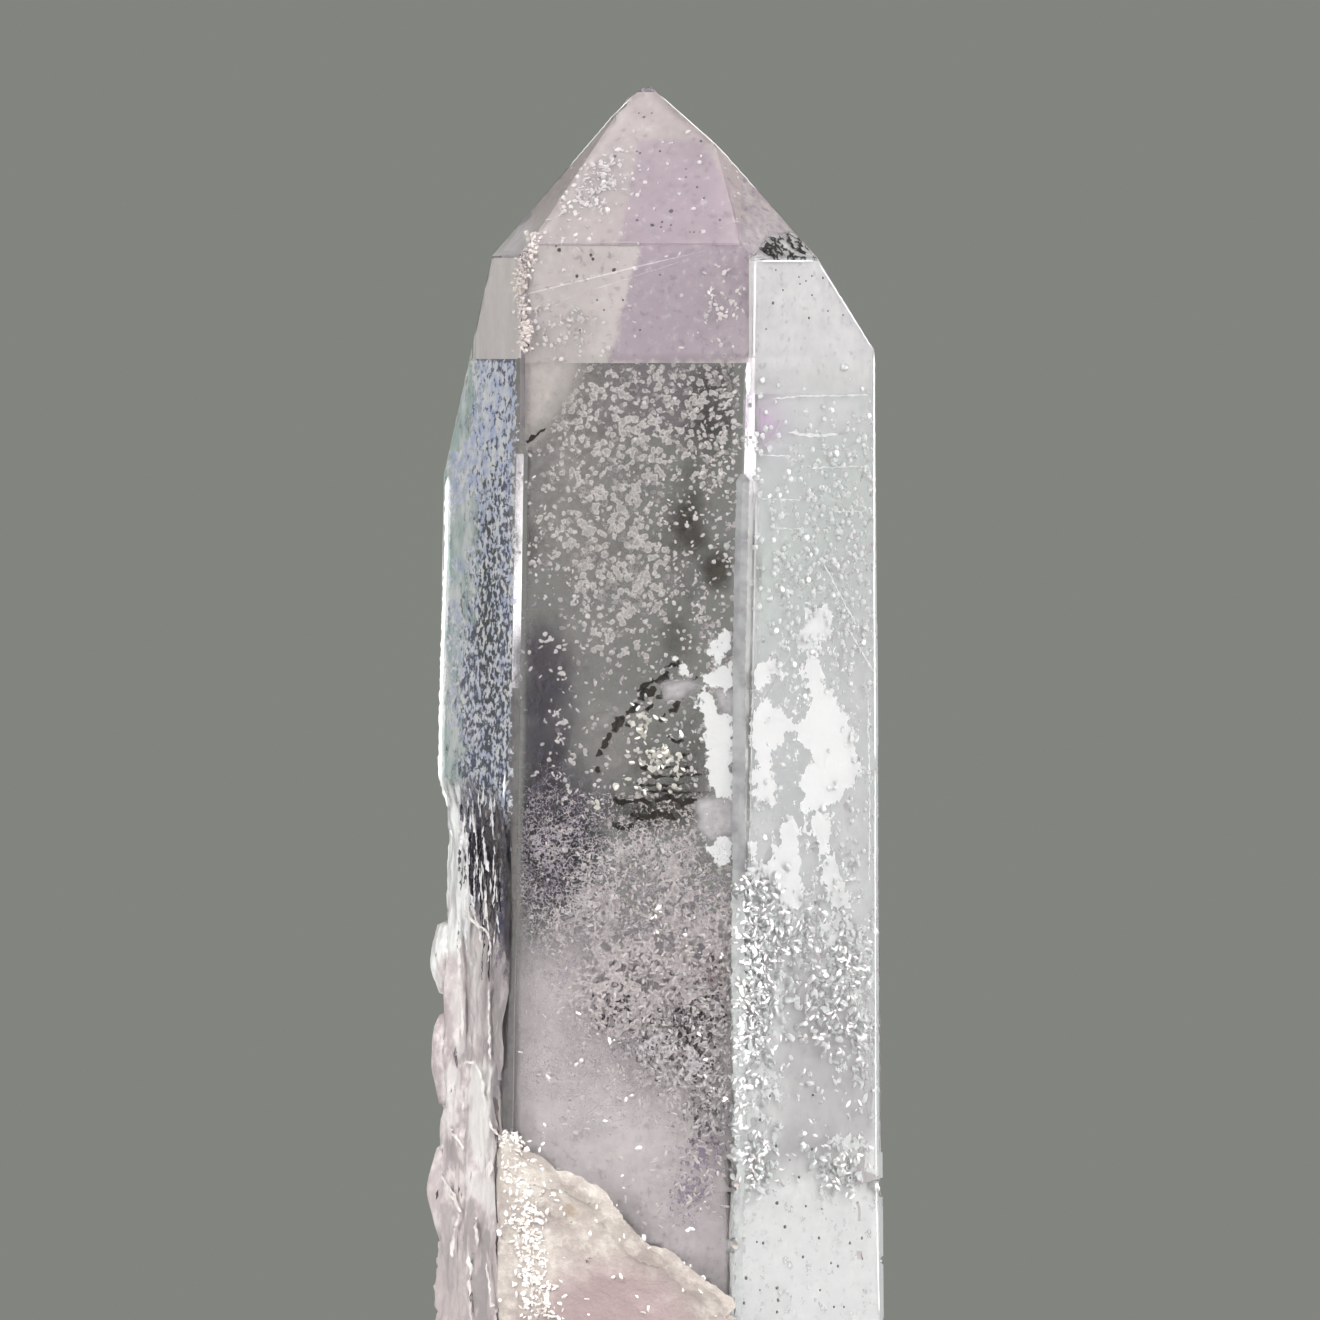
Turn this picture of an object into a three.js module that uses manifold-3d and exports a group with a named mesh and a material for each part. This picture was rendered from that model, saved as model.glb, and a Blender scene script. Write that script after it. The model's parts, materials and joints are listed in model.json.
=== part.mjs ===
// An amethyst point: one six-sided quartz crystal, grown in one piece, with a three-faced tip.
// It is cut off flat at its root and stands on the cut. The front faces -Y and the tip points to +Z.
import * as THREE from 'three';
import { mergeVertices } from 'three/addons/utils/BufferGeometryUtils.js';
import Module from 'manifold-3d';

const wasm = await Module();
wasm.setup();

// Driving dimensions, in millimetres. The crystal's axis, through the tip, is the Z axis.
const TIP_HEIGHT = 66;
// A cap face of quartz drops this much for each millimetre outwards: it leans 51.8 degrees.
const CAP_SLOPE = 1.27;
// The tip itself is worn to a tiny flat.
const TIP_WEAR = 0.12;
// The block that the faces are cut from, with room around the widest section.
const BLOCK_WIDTH = 44;

// The six sides, each a prism face with a cap face above it. The azimuth is measured from -Y
// towards +X. The reach is from the axis to the prism face at its top. The flare is how far the
// prism face comes out for each millimetre down. The cap rise is how far above the tip the cap
// face's plane crosses the axis: the faces with none meet at the tip, the others start lower.
const SIDES = {
  front: { azimuth: -14, reach: 5.73, flare: 0.017, capRise: 0 },
  right: { azimuth: 46, reach: 8.42, flare: -0.006, capRise: 2.65 },
  backRight: { azimuth: 106, reach: 9.57, flare: 0.012, capRise: 0 },
  back: { azimuth: 166, reach: 12.2, flare: 0.004, capRise: 3.1 },
  backLeft: { azimuth: -134, reach: 13.9, flare: 0, capRise: 0 },
  left: { azimuth: -77, reach: 6.62, flare: 0.021, capRise: 0.65 },
};

// Narrow upright faces that blunt the edges between two sides, from one height to another, with
// the depth that they take off the edge at each end.
const EDGE_FACES = [
  { between: ['front', 'left'], top: 49.5, bottom: 18.4, topDepth: 0.15, bottomDepth: 0.2 },
  { between: ['front', 'right'], top: 53.5, bottom: 24.5, topDepth: 0.15, bottomDepth: 0.2 },
  { between: ['right', 'backRight'], top: 36.0, bottom: 17.5, topDepth: 0.06, bottomDepth: 0.1 },
  { between: ['backRight', 'back'], top: 47.5, bottom: 12.0, topDepth: 0.12, bottomDepth: 0.22 },
];

// Growth steps: above its height a side lies a little further in than below it.
const GROWTH_STEPS = [
  { side: 'right', height: 52.0, depth: 0.07 },
  { side: 'right', height: 50.2, depth: 0.05 },
  { side: 'backRight', height: 41.5, depth: 0.09 },
  { side: 'backRight', height: 24.0, depth: 0.06 },
  { side: 'back', height: 47.0, depth: 0.08 },
  { side: 'back', height: 30.5, depth: 0.1 },
];

// Chips off the edges: where along the edge, and how big the missing piece is.
const EDGE_CHIPS = [
  { between: ['right', 'backRight'], height: 15.9, size: 0.42 },
  { between: ['right', 'backRight'], height: 12.6, size: 0.2 },
  { between: ['front', 'right'], height: 16.2, size: 0.18 },
  { between: ['front', 'right'], height: 13.4, size: 0.22 },
  { between: ['backRight', 'back'], height: 50.5, size: 0.35 },
  { between: ['backRight', 'back'], height: 9.5, size: 0.5 },
];
// The front left edge is crumbled from just under the cap, in a row of small chips.
const CRUMBLED_EDGE = { between: ['front', 'left'], top: 58.6, bottom: 54.3, chips: 9, size: 0.42 };

// Below this height another crystal grew against the left flank and left it rough and ribbed.
const FLANK_TOP = 35.6;
// It is pinched in under its top, and lies less deep below the pinch.
const FLANK_PINCH_BOTTOM = 26.5;
const FLANK_PINCH_DEPTH = 0.55;
const FLANK_DEPTH = 0.42;
const FLANK_ROUGHNESS = 0.2;
// Knobs that stand out of the rough flank: where across the side from its back edge, how high
// up, and the half width, half height and half thickness.
const FLANK_KNOBS = [
  { side: 'left', fromBack: 0.6, height: 26.2, size: [1.0, 1.6, 0.7] },
  { side: 'left', fromBack: 0.7, height: 21.6, size: [0.9, 2.1, 0.65] },
  { side: 'left', fromBack: 3.0, height: 19.6, size: [0.7, 2.6, 0.5] },
  { side: 'left', fromBack: 5.6, height: 16.0, size: [0.8, 2.9, 0.55] },
  { side: 'left', fromBack: 0.9, height: 15.4, size: [0.9, 2.2, 0.5] },
  { side: 'left', fromBack: 8.4, height: 12.4, size: [0.7, 2.4, 0.45] },
  { side: 'backLeft', fromBack: 1.6, height: 24.0, size: [0.9, 2.0, 0.6] },
  { side: 'backLeft', fromBack: 3.9, height: 17.0, size: [1.1, 2.6, 0.6] },
  { side: 'backLeft', fromBack: 2.4, height: 8.5, size: [1.2, 2.4, 0.7] },
];

// The front's lower left corner is a scar where a neighbour was joined. Its upper rim runs in
// shallow scoops down across the front, from the left edge to the right edge.
const SCAR_RIM_START = { across: -7.0, height: 20.3 };
const SCAR_RIM_END = { across: 6.6, height: 9.9 };
const SCAR_SCOOPS = 8;
const SCOOP_RADIUS = 5.2;
const SCAR_SLOPE = 0.17;
const SCAR_ROUGHNESS = 0.22;

const UP = new THREE.Vector3(0, 0, 1);

// A repeatable series of random numbers from 0 to 1.
function randomSeries(seed) {
  let state = seed;
  return () => {
    state = (state * 1664525 + 1013904223) % 4294967296;
    return state / 4294967296;
  };
}

// A closed three.js shape as a solid that can be joined and cut, put in its place by a matrix.
function solidFrom(geometry, placement = new THREE.Matrix4()) {
  const bare = geometry.clone();
  bare.deleteAttribute('normal');
  bare.deleteAttribute('uv');
  const merged = mergeVertices(bare);
  merged.applyMatrix4(placement);
  return new wasm.Manifold(new wasm.Mesh({
    numProp: 3,
    vertProperties: new Float32Array(merged.attributes.position.array),
    triVerts: new Uint32Array(merged.index.array),
  }));
}

// The direction that a side faces, level with the ground.
function outward(azimuth) {
  const angle = THREE.MathUtils.degToRad(azimuth);
  return new THREE.Vector3(Math.sin(angle), -Math.cos(angle), 0);
}

// A box with one face on a plane and all the rest outside it. Its height runs up the plane.
function boxOutside(point, normal, width, height, thickness) {
  const across = new THREE.Vector3().crossVectors(UP, normal).normalize();
  const upward = new THREE.Vector3().crossVectors(normal, across);
  const centre = point.clone().addScaledVector(normal, thickness / 2);
  const placement = new THREE.Matrix4().makeBasis(across, upward, normal).setPosition(centre);
  return solidFrom(new THREE.BoxGeometry(width, height, thickness), placement);
}

// The height at which a side's prism face meets its cap face.
function shoulderHeight(side) {
  return TIP_HEIGHT + side.capRise - CAP_SLOPE * side.reach;
}

// How far a side's prism face, with its flare, lies from the axis at a height.
function reachAt(side, height) {
  return side.reach + side.flare * (shoulderHeight(side) - height);
}

// The point at a height on the edge that two sides share.
function edgePoint(sideA, sideB, height) {
  const normalA = outward(sideA.azimuth);
  const normalB = outward(sideB.azimuth);
  const reachA = reachAt(sideA, height);
  const reachB = reachAt(sideB, height);
  const cosine = normalA.dot(normalB);
  const spread = 1 - cosine * cosine;
  return new THREE.Vector3(0, 0, height)
    .addScaledVector(normalA, (reachA - reachB * cosine) / spread)
    .addScaledVector(normalB, (reachB - reachA * cosine) / spread);
}

// A point on the surface of a side, at a height and at a distance to the right of the axis as
// seen by someone who faces that side.
function pointOnSide(side, across, height, proud = 0) {
  const normal = outward(side.azimuth);
  const sideways = new THREE.Vector3().crossVectors(UP, normal);
  return new THREE.Vector3(0, 0, height)
    .addScaledVector(normal, reachAt(side, height) + proud)
    .addScaledVector(sideways, across);
}

// Cuts the prism face and the cap face of one side.
function cutSide(body, side) {
  const level = outward(side.azimuth);
  const shoulder = shoulderHeight(side);
  const prismNormal = level.clone().setZ(side.flare).normalize();
  const prismPoint = level.clone().multiplyScalar(side.reach).setZ(shoulder);
  const capNormal = level.clone().multiplyScalar(CAP_SLOPE).setZ(1).normalize();
  const capPoint = new THREE.Vector3(0, 0, TIP_HEIGHT + side.capRise);
  const span = 4 * TIP_HEIGHT;
  return body
    .subtract(boxOutside(prismPoint, prismNormal, span, span, BLOCK_WIDTH))
    .subtract(boxOutside(capPoint, capNormal, span, span, BLOCK_WIDTH));
}

// The bare form: a block cut by its twelve faces.
function makePoint() {
  const block = new THREE.BoxGeometry(BLOCK_WIDTH, BLOCK_WIDTH, TIP_HEIGHT);
  let body = solidFrom(block, new THREE.Matrix4().makeTranslation(0, 0, TIP_HEIGHT / 2 - TIP_WEAR));
  for (const side of Object.values(SIDES)) {
    body = cutSide(body, side);
  }
  return body;
}

// Takes the narrow upright faces off the edges.
function bluntEdges(body) {
  const bladeWidth = 4;
  const bladeThickness = 2;
  let blunted = body;
  for (const face of EDGE_FACES) {
    const [sideA, sideB] = face.between.map((name) => SIDES[name]);
    const level = outward(sideA.azimuth).add(outward(sideB.azimuth)).normalize();
    const top = edgePoint(sideA, sideB, face.top).addScaledVector(level, -face.topDepth);
    const bottom = edgePoint(sideA, sideB, face.bottom).addScaledVector(level, -face.bottomDepth);
    const rise = top.clone().sub(bottom);
    const normal = level.clone().projectOnPlane(rise.clone().normalize()).normalize();
    const middle = top.clone().add(bottom).multiplyScalar(0.5);
    blunted = blunted.subtract(
      boxOutside(middle, normal, bladeWidth, rise.length(), bladeThickness),
    );
  }
  return blunted;
}

// Sets each side back a little above its growth steps.
function stepSides(body) {
  const bladeThickness = 2;
  let stepped = body;
  for (const step of GROWTH_STEPS) {
    const side = SIDES[step.side];
    const height = TIP_HEIGHT - step.height;
    const middle = pointOnSide(side, 0, step.height + height / 2, -step.depth);
    const normal = outward(side.azimuth).setZ(side.flare).normalize();
    stepped = stepped.subtract(boxOutside(middle, normal, BLOCK_WIDTH, height, bladeThickness));
  }
  return stepped;
}

// A smooth random field with values from -1 to 1, one set at each whole number and blended
// between. It repeats after a number of steps both ways.
function randomField(seed, steps) {
  const random = randomSeries(seed);
  const values = Array.from({ length: steps * steps }, () => 2 * random() - 1);
  const valueAt = (column, row) => values[(column % steps) * steps + (row % steps)];
  return (u, v) => {
    const column = Math.floor(u);
    const row = Math.floor(v);
    const blendU = THREE.MathUtils.smoothstep(u - column, 0, 1);
    const blendV = THREE.MathUtils.smoothstep(v - row, 0, 1);
    const low = THREE.MathUtils.lerp(valueAt(column, row), valueAt(column + 1, row), blendU);
    const high = THREE.MathUtils.lerp(valueAt(column, row + 1), valueAt(column + 1, row + 1), blendU);
    return THREE.MathUtils.lerp(low, high, blendV);
  };
}

// A placement on a side: its Z points out of the side and its Y points up along it.
function placeOnSide(side, across, height, proud = 0) {
  const normal = outward(side.azimuth);
  const sideways = new THREE.Vector3().crossVectors(UP, normal);
  const point = pointOnSide(side, across, height, proud);
  return new THREE.Matrix4().makeBasis(sideways, UP, normal).setPosition(point);
}

// A block that lies outside a side, with a rough inner face that dips into the side by a depth
// worked out at each point from its place across and its height.
function roughCutter(side, left, right, bottom, top, cell, depthAt) {
  const width = right - left;
  const rise = top - bottom;
  const thickness = 4;
  const columns = Math.round(width / cell);
  const rows = Math.round(rise / cell);
  const block = new THREE.BoxGeometry(width, rise, thickness, columns, rows, 1);
  block.translate((left + right) / 2, (bottom + top) / 2, thickness / 2);
  const points = block.attributes.position;
  for (let i = 0; i < points.count; i += 1) {
    if (points.getZ(i) < thickness / 2) {
      const across = points.getX(i);
      const height = points.getY(i);
      const lean = reachAt(side, height) - reachAt(side, 0);
      points.setZ(i, lean - depthAt(across, height));
    }
  }
  return solidFrom(block, placeOnSide(side, 0, 0));
}

// Roughens the left and back left sides of the lower flank, in ribs that run up and down.
function roughenFlank(body) {
  const cell = 0.75;
  const ribWidth = 0.95;
  const ribLength = 3.6;
  const fadeHeight = 3.2;
  const pinchBlend = 2;
  const bottom = -1;
  const fieldSteps = 40;
  const cuts = [
    { side: SIDES.left, left: -14.5, right: 4.2, deepEnd: -11, shallowEnd: 4, seed: 11 },
    { side: SIDES.backLeft, left: -7, right: 9, deepEnd: 5, shallowEnd: -9, seed: 23 },
  ];
  let rough = body;
  for (const cut of cuts) {
    const field = randomField(cut.seed, fieldSteps);
    const depthAt = (across, height) => {
      const fade = THREE.MathUtils.smoothstep(FLANK_TOP - height, 0, fadeHeight);
      const share = (across - cut.shallowEnd) / (cut.deepEnd - cut.shallowEnd);
      const intoPinch = height - FLANK_PINCH_BOTTOM;
      const pinch = THREE.MathUtils.smoothstep(intoPinch, 0, pinchBlend);
      const depth = THREE.MathUtils.lerp(FLANK_DEPTH, FLANK_PINCH_DEPTH, pinch);
      const ribs = field((across - cut.left) / ribWidth, (height - 2 * bottom) / ribLength);
      return fade * (depth * share + FLANK_ROUGHNESS * ribs) - (1 - fade) * FLANK_ROUGHNESS;
    };
    rough = rough.subtract(
      roughCutter(cut.side, cut.left, cut.right, bottom, FLANK_TOP + 1, cell, depthAt),
    );
  }
  return rough;
}

// A squashed ball of flat facets.
function knob(placement, size, turn, detail) {
  const shape = new THREE.Matrix4().makeRotationZ(turn).scale(new THREE.Vector3(...size));
  return solidFrom(new THREE.IcosahedronGeometry(1, detail), placement.clone().multiply(shape));
}

// Where a side's edge towards the back lies, measured across the side at a height.
function backEdgeAcross(name, height) {
  const neighbour = name === 'left' ? SIDES.backLeft : SIDES.back;
  const side = SIDES[name];
  const sideways = new THREE.Vector3().crossVectors(UP, outward(side.azimuth));
  return edgePoint(side, neighbour, height).dot(sideways);
}

// Adds the knobs to the rough flank.
function addKnobs(body) {
  const random = randomSeries(5);
  const leanLimit = 0.2;
  let knobbly = body;
  for (const bump of FLANK_KNOBS) {
    const side = SIDES[bump.side];
    const across = backEdgeAcross(bump.side, bump.height) + bump.fromBack;
    const placement = placeOnSide(side, across, bump.height, -FLANK_DEPTH);
    const lean = (2 * random() - 1) * leanLimit;
    knobbly = knobbly.add(knob(placement, bump.size, lean, 2));
  }
  return knobbly;
}

// Chips the edges with small faceted bites.
function chipEdges(body) {
  const random = randomSeries(71);
  const varied = (size) => size * THREE.MathUtils.lerp(0.7, 1.3, random());
  // The lowest chip of the crumbled edge against the highest one.
  const lastShare = 0.4;
  const chipStretch = 1.3;
  const chips = [...EDGE_CHIPS];
  const crumbled = CRUMBLED_EDGE;
  for (let i = 0; i < crumbled.chips; i += 1) {
    const share = i / (crumbled.chips - 1);
    const height = THREE.MathUtils.lerp(crumbled.top, crumbled.bottom, share);
    const size = varied(crumbled.size * THREE.MathUtils.lerp(1, lastShare, share));
    chips.push({ between: crumbled.between, height, size });
  }
  let chipped = body;
  for (const chip of chips) {
    const [sideA, sideB] = chip.between.map((name) => SIDES[name]);
    const placement = new THREE.Matrix4().makeRotationFromEuler(
      new THREE.Euler(random() * Math.PI, random() * Math.PI, random() * Math.PI),
    );
    placement.setPosition(edgePoint(sideA, sideB, chip.height));
    const size = [chip.size, varied(chip.size), chip.size * chipStretch];
    chipped = chipped.subtract(knob(placement, size, 0, 1));
  }
  return chipped;
}

// Cuts the scar: a row of scoops along its rim, and a rough slope below them.
function cutScar(body) {
  const side = SIDES.front;
  const random = randomSeries(37);
  const acrossRun = SCAR_RIM_END.across - SCAR_RIM_START.across;
  const heightRun = SCAR_RIM_END.height - SCAR_RIM_START.height;
  const rimLength = Math.hypot(acrossRun, heightRun);
  // The way from the rim into the scar, down and to the left.
  const inAcross = heightRun / rimLength;
  const inHeight = -acrossRun / rimLength;
  // Half the width that a scoop leaves in the face.
  const mouthNarrow = 2.0;
  const mouthWide = 2.7;
  let scarred = body;
  for (let i = 0; i < SCAR_SCOOPS; i += 1) {
    const share = i / (SCAR_SCOOPS - 1);
    const mouth = THREE.MathUtils.lerp(mouthNarrow, mouthWide, random());
    const sink = Math.sqrt(SCOOP_RADIUS ** 2 - mouth ** 2);
    const across = SCAR_RIM_START.across + acrossRun * share + inAcross * mouth;
    const height = SCAR_RIM_START.height + heightRun * share + inHeight * mouth;
    const placement = placeOnSide(side, across, height, sink);
    const size = [SCOOP_RADIUS, SCOOP_RADIUS, SCOOP_RADIUS];
    scarred = scarred.subtract(knob(placement, size, random(), 10));
  }
  const fieldSteps = 40;
  const field = randomField(53, fieldSteps);
  const coarse = 2.6;
  const fine = 0.9;
  const fineShare = 0.5;
  const rimMargin = 1.7;
  const depthAtRim = 0.35;
  // How far outside the face the cutter stays above the rim.
  const clearance = 1;
  const cell = 0.7;
  const slope = { left: -10.5, right: 7.5, bottom: -1, top: 18 };
  const lumpsAt = (across, height, size) => field(
    (across - 2 * slope.left) / size,
    (height - 2 * slope.bottom) / size,
  );
  const depthAt = (across, height) => {
    const into = (across - SCAR_RIM_START.across) * inAcross
      + (height - SCAR_RIM_START.height) * inHeight - rimMargin;
    const lumps = lumpsAt(across, height, coarse) + fineShare * lumpsAt(across, height, fine);
    const depth = depthAtRim + SCAR_SLOPE * into + SCAR_ROUGHNESS * lumps;
    return into < 0 ? depth - clearance : depth;
  };
  return scarred.subtract(
    roughCutter(side, slope.left, slope.right, slope.bottom, slope.top, cell, depthAt),
  );
}

// The crystal, from its bare form to its damage, then cut flat at the root.
function makeCrystal() {
  let body = makePoint();
  body = bluntEdges(body);
  body = stepSides(body);
  body = roughenFlank(body);
  body = addKnobs(body);
  body = chipEdges(body);
  body = cutScar(body);
  const ground = new THREE.BoxGeometry(2 * BLOCK_WIDTH, 2 * BLOCK_WIDTH, TIP_HEIGHT);
  return body.subtract(solidFrom(ground, new THREE.Matrix4().makeTranslation(0, 0, -TIP_HEIGHT / 2)));
}

// A solid as a flat-shaded mesh.
function meshFrom(name, body, material) {
  const cut = body.getMesh();
  const geometry = new THREE.BufferGeometry();
  geometry.setAttribute('position', new THREE.BufferAttribute(cut.vertProperties, 3));
  geometry.setIndex(new THREE.BufferAttribute(cut.triVerts, 1));
  geometry.computeVertexNormals();
  const mesh = new THREE.Mesh(geometry, material);
  mesh.name = name;
  return mesh;
}

const amethyst = new THREE.MeshStandardMaterial({
  color: 0xc9bcc6,
  roughness: 0.12,
  metalness: 0,
  flatShading: true,
});

const specimen = new THREE.Group();
specimen.add(meshFrom('crystal', makeCrystal(), amethyst));

export default specimen;
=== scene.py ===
# %% [markdown]
# # A clear amethyst point
# This script dresses one natural quartz crystal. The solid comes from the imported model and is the
# fixed frame. Here it gets its clear and its rough surfaces, and what grew or healed inside it.
# All sizes are in metres. The front faces -Y and the tip points to +Z.

# %% The frame
import json
import math
import bmesh
import bpy
import numpy as np
from mathutils import Matrix, Vector, noise
from mathutils.bvhtree import BVHTree

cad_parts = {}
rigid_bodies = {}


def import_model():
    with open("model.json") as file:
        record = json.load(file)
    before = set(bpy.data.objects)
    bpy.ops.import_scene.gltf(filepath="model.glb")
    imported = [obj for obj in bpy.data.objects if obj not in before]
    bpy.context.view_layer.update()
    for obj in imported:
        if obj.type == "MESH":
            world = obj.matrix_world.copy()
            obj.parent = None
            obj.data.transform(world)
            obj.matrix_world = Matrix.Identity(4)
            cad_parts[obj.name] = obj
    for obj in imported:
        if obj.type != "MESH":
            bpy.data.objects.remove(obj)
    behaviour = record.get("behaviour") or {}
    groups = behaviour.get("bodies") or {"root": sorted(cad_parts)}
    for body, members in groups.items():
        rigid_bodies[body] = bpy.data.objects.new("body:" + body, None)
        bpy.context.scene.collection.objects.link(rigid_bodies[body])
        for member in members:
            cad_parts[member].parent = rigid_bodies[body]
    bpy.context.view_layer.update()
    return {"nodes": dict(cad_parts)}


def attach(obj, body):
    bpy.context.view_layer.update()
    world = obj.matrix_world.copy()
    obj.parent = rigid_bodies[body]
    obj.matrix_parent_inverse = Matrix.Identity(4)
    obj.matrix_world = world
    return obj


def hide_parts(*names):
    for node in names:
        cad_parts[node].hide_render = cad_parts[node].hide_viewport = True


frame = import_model()
MM = 0.001

# %% [markdown]
# The camera looks level along +Y through a long lens, so the crystal's edges stay parallel. It is
# made first, because what lies inside the crystal is placed by where it is seen from here.

# %% The camera
FRAME_PIXELS = 1320
PIXELS_PER_MM = 22.0
AXIS_PIXEL = 648.5
TIP_PIXEL = 85.0
TIP_HEIGHT_MM = 66.0
CAMERA_DISTANCE = 1.2
SENSOR_WIDTH = 36.0


def metres(pixels):
    """A length in pixels of the picture as metres on the crystal."""
    return pixels / PIXELS_PER_MM * MM


def across_at(column):
    """The place to the right of the crystal's axis, in metres, for a column of the picture."""
    return metres(column - AXIS_PIXEL)


def height_at(row):
    """The height above the floor, in metres, for a row of the picture."""
    return (TIP_HEIGHT_MM - (row - TIP_PIXEL) / PIXELS_PER_MM) * MM


def placed(name, data):
    """A new object in the scene that shows some data."""
    made = bpy.data.objects.new(name, data)
    bpy.context.scene.collection.objects.link(made)
    return made


frame_width = metres(FRAME_PIXELS)
eye = Vector((across_at(FRAME_PIXELS / 2), -CAMERA_DISTANCE, height_at(FRAME_PIXELS / 2)))
lens = bpy.data.cameras.new("camera")
lens.sensor_width = SENSOR_WIDTH
lens.lens = SENSOR_WIDTH * CAMERA_DISTANCE / frame_width
camera = placed("camera", lens)
camera.location = eye
camera.rotation_euler = (math.radians(90), 0, 0)
bpy.context.scene.camera = camera
print("lens in mm:", round(lens.lens))

# %% [markdown]
# Small helpers for working as by hand: leave one object or none selected, open an object for
# editing, and select faces by a test of their place and the way they face.


# %% Selecting
def deselect():
    """Leaves no object selected."""
    bpy.ops.object.select_all(action="DESELECT")


def named(name):
    """The object that was just added, with a name."""
    made = bpy.context.object
    made.name = name
    return made


def pick(thing):
    """Leaves one object selected and active."""
    deselect()
    thing.select_set(True)
    bpy.context.view_layer.objects.active = thing


def edit(thing, kind="FACE"):
    """Opens an object's mesh for editing."""
    pick(thing)
    bpy.ops.object.mode_set(mode="EDIT")
    bpy.ops.mesh.select_mode(type=kind)


def open_all(thing, kind="FACE"):
    """Opens an object's mesh for editing, all of it selected."""
    edit(thing, kind)
    bpy.ops.mesh.select_all(action="SELECT")


def done():
    """Closes the mesh that is open."""
    bpy.ops.object.mode_set(mode="OBJECT")


def select_faces(thing, wanted):
    """Selects the faces that pass a test, and nothing else. Returns how many."""
    edit(thing)
    bpy.ops.mesh.select_all(action="DESELECT")
    done()
    count = 0
    for face in thing.data.polygons:
        face.select = bool(wanted(face.center, face.normal))
        count += face.select
    return count


# %% [markdown]
# A material is a small recipe of nodes. This helper adds them one at a time, and always reads the
# Object coordinates, so that a pattern stays where it is on the crystal.


# %% Recipes
class Recipe:
    """A material and its node tree."""

    def __init__(self, name):
        self.material = bpy.data.materials.new(name)
        self.material.use_nodes = True
        self.tree = self.material.node_tree
        self.tree.nodes.clear()
        self.output = self.tree.nodes.new("ShaderNodeOutputMaterial")
        self.place = self.node("TexCoord").outputs["Object"]

    def node(self, kind, inputs=None, **settings):
        """Adds a node. An input is a number, a colour or another node's output."""
        made = self.tree.nodes.new("ShaderNode" + kind)
        for name, value in settings.items():
            setattr(made, name, value)
        for name, value in (inputs or {}).items():
            if isinstance(value, bpy.types.NodeSocket):
                self.tree.links.new(value, made.inputs[name])
            else:
                made.inputs[name].default_value = value
        return made

    def stretched(self, scale):
        """The place on the object with each axis scaled, to stretch a pattern."""
        return self.node("Mapping", {"Vector": self.place, "Scale": scale}).outputs[0]

    def noise(self, scale, detail=3.0, roughness=0.55, vector=None):
        """A cloudy pattern from 0 to 1. The scale is in lumps per metre."""
        inputs = {"Vector": vector or self.place, "Scale": scale, "Detail": detail, "Roughness": roughness}
        return self.node("TexNoise", inputs).outputs["Fac"]

    def spread(self, value, low, high, first=0.0, last=1.0):
        """Maps low to first and high to last, smoothly and without going past them."""
        inputs = {"Value": value, "From Min": low, "From Max": high, "To Min": first, "To Max": last}
        return self.node("MapRange", inputs, interpolation_type="SMOOTHSTEP").outputs["Result"]

    def math(self, operation, first, second=0.0):
        """One sum, product or other simple step."""
        return self.node("Math", {0: first, 1: second}, operation=operation).outputs[0]

    def times(self, first, second):
        """A product."""
        return self.math("MULTIPLY", first, second)

    def plus(self, first, second):
        """A sum."""
        return self.math("ADD", first, second)

    def minus(self, first, second):
        """A difference."""
        return self.math("SUBTRACT", first, second)

    def along(self, value, way):
        """How far a place or a direction reaches along a way."""
        return self.node("VectorMath", {0: value, 1: way}, operation="DOT_PRODUCT").outputs["Value"]

    def leftward(self):
        """How squarely the surface faces to the left, 1 at most."""
        return self.along(self.node("NewGeometry").outputs["Normal"], outward("left"))

    def bumps(self, height, strength, distance):
        """The way a surface faces when a pattern makes it bumpy."""
        inputs = {"Height": height, "Strength": strength, "Distance": distance}
        return self.node("Bump", inputs).outputs[0]

    def blend(self, factor, first, second):
        """A mix of two colours."""
        made = self.node("Mix", {0: factor, 6: first, 7: second}, data_type="RGBA")
        return made.outputs[2]

    def height(self):
        """The height above the floor in metres."""
        return self.node("SeparateXYZ", {0: self.place}).outputs["Z"]

    def fill(self, colour, density):
        """Tints the light that passes through what is inside."""
        tint = self.node("VolumeAbsorption", {"Color": colour, "Density": density})
        self.tree.links.new(tint.outputs[0], self.output.inputs["Volume"])

    def surface(self, shader):
        """Shows a shader on the surface."""
        self.tree.links.new(shader, self.output.inputs["Surface"])
        return self.material

    def veil(self, amount, shader):
        """Shows a shader by an amount, and lets the light straight through for the rest."""
        clear = self.node("BsdfTransparent")
        mixed = self.node("MixShader", {0: amount, 1: clear.outputs[0], 2: shader.outputs[0]})
        return self.surface(mixed.outputs[0])


# %% [markdown]
# The crystal's clear body is a copy of the solid, with its loose triangles joined. The faces that
# grew freely stay dead flat, because quartz faces are. Only the crowded flank and the scar at the
# lower left are divided further and roughened, so that they break the light as torn quartz does.

# %% The sides of the crystal
# Each side's azimuth from -Y towards +X, its reach from the axis, how much it flares for each
# millimetre down, and how far its cap face rises over the tip at the axis, in degrees and mm.
SIDES = {
    "front": (-14, 5.73, 0.017, 0),
    "right": (46, 8.42, -0.006, 2.65),
    "back_right": (106, 9.57, 0.012, 0),
    "back": (166, 12.2, 0.004, 3.1),
    "back_left": (-134, 13.9, 0, 0),
    "left": (-77, 6.62, 0.021, 0.65),
}
CAP_SLOPE = 1.27


def outward(side):
    """The level direction that a side faces."""
    angle = math.radians(SIDES[side][0])
    return Vector((math.sin(angle), -math.cos(angle), 0))


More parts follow.
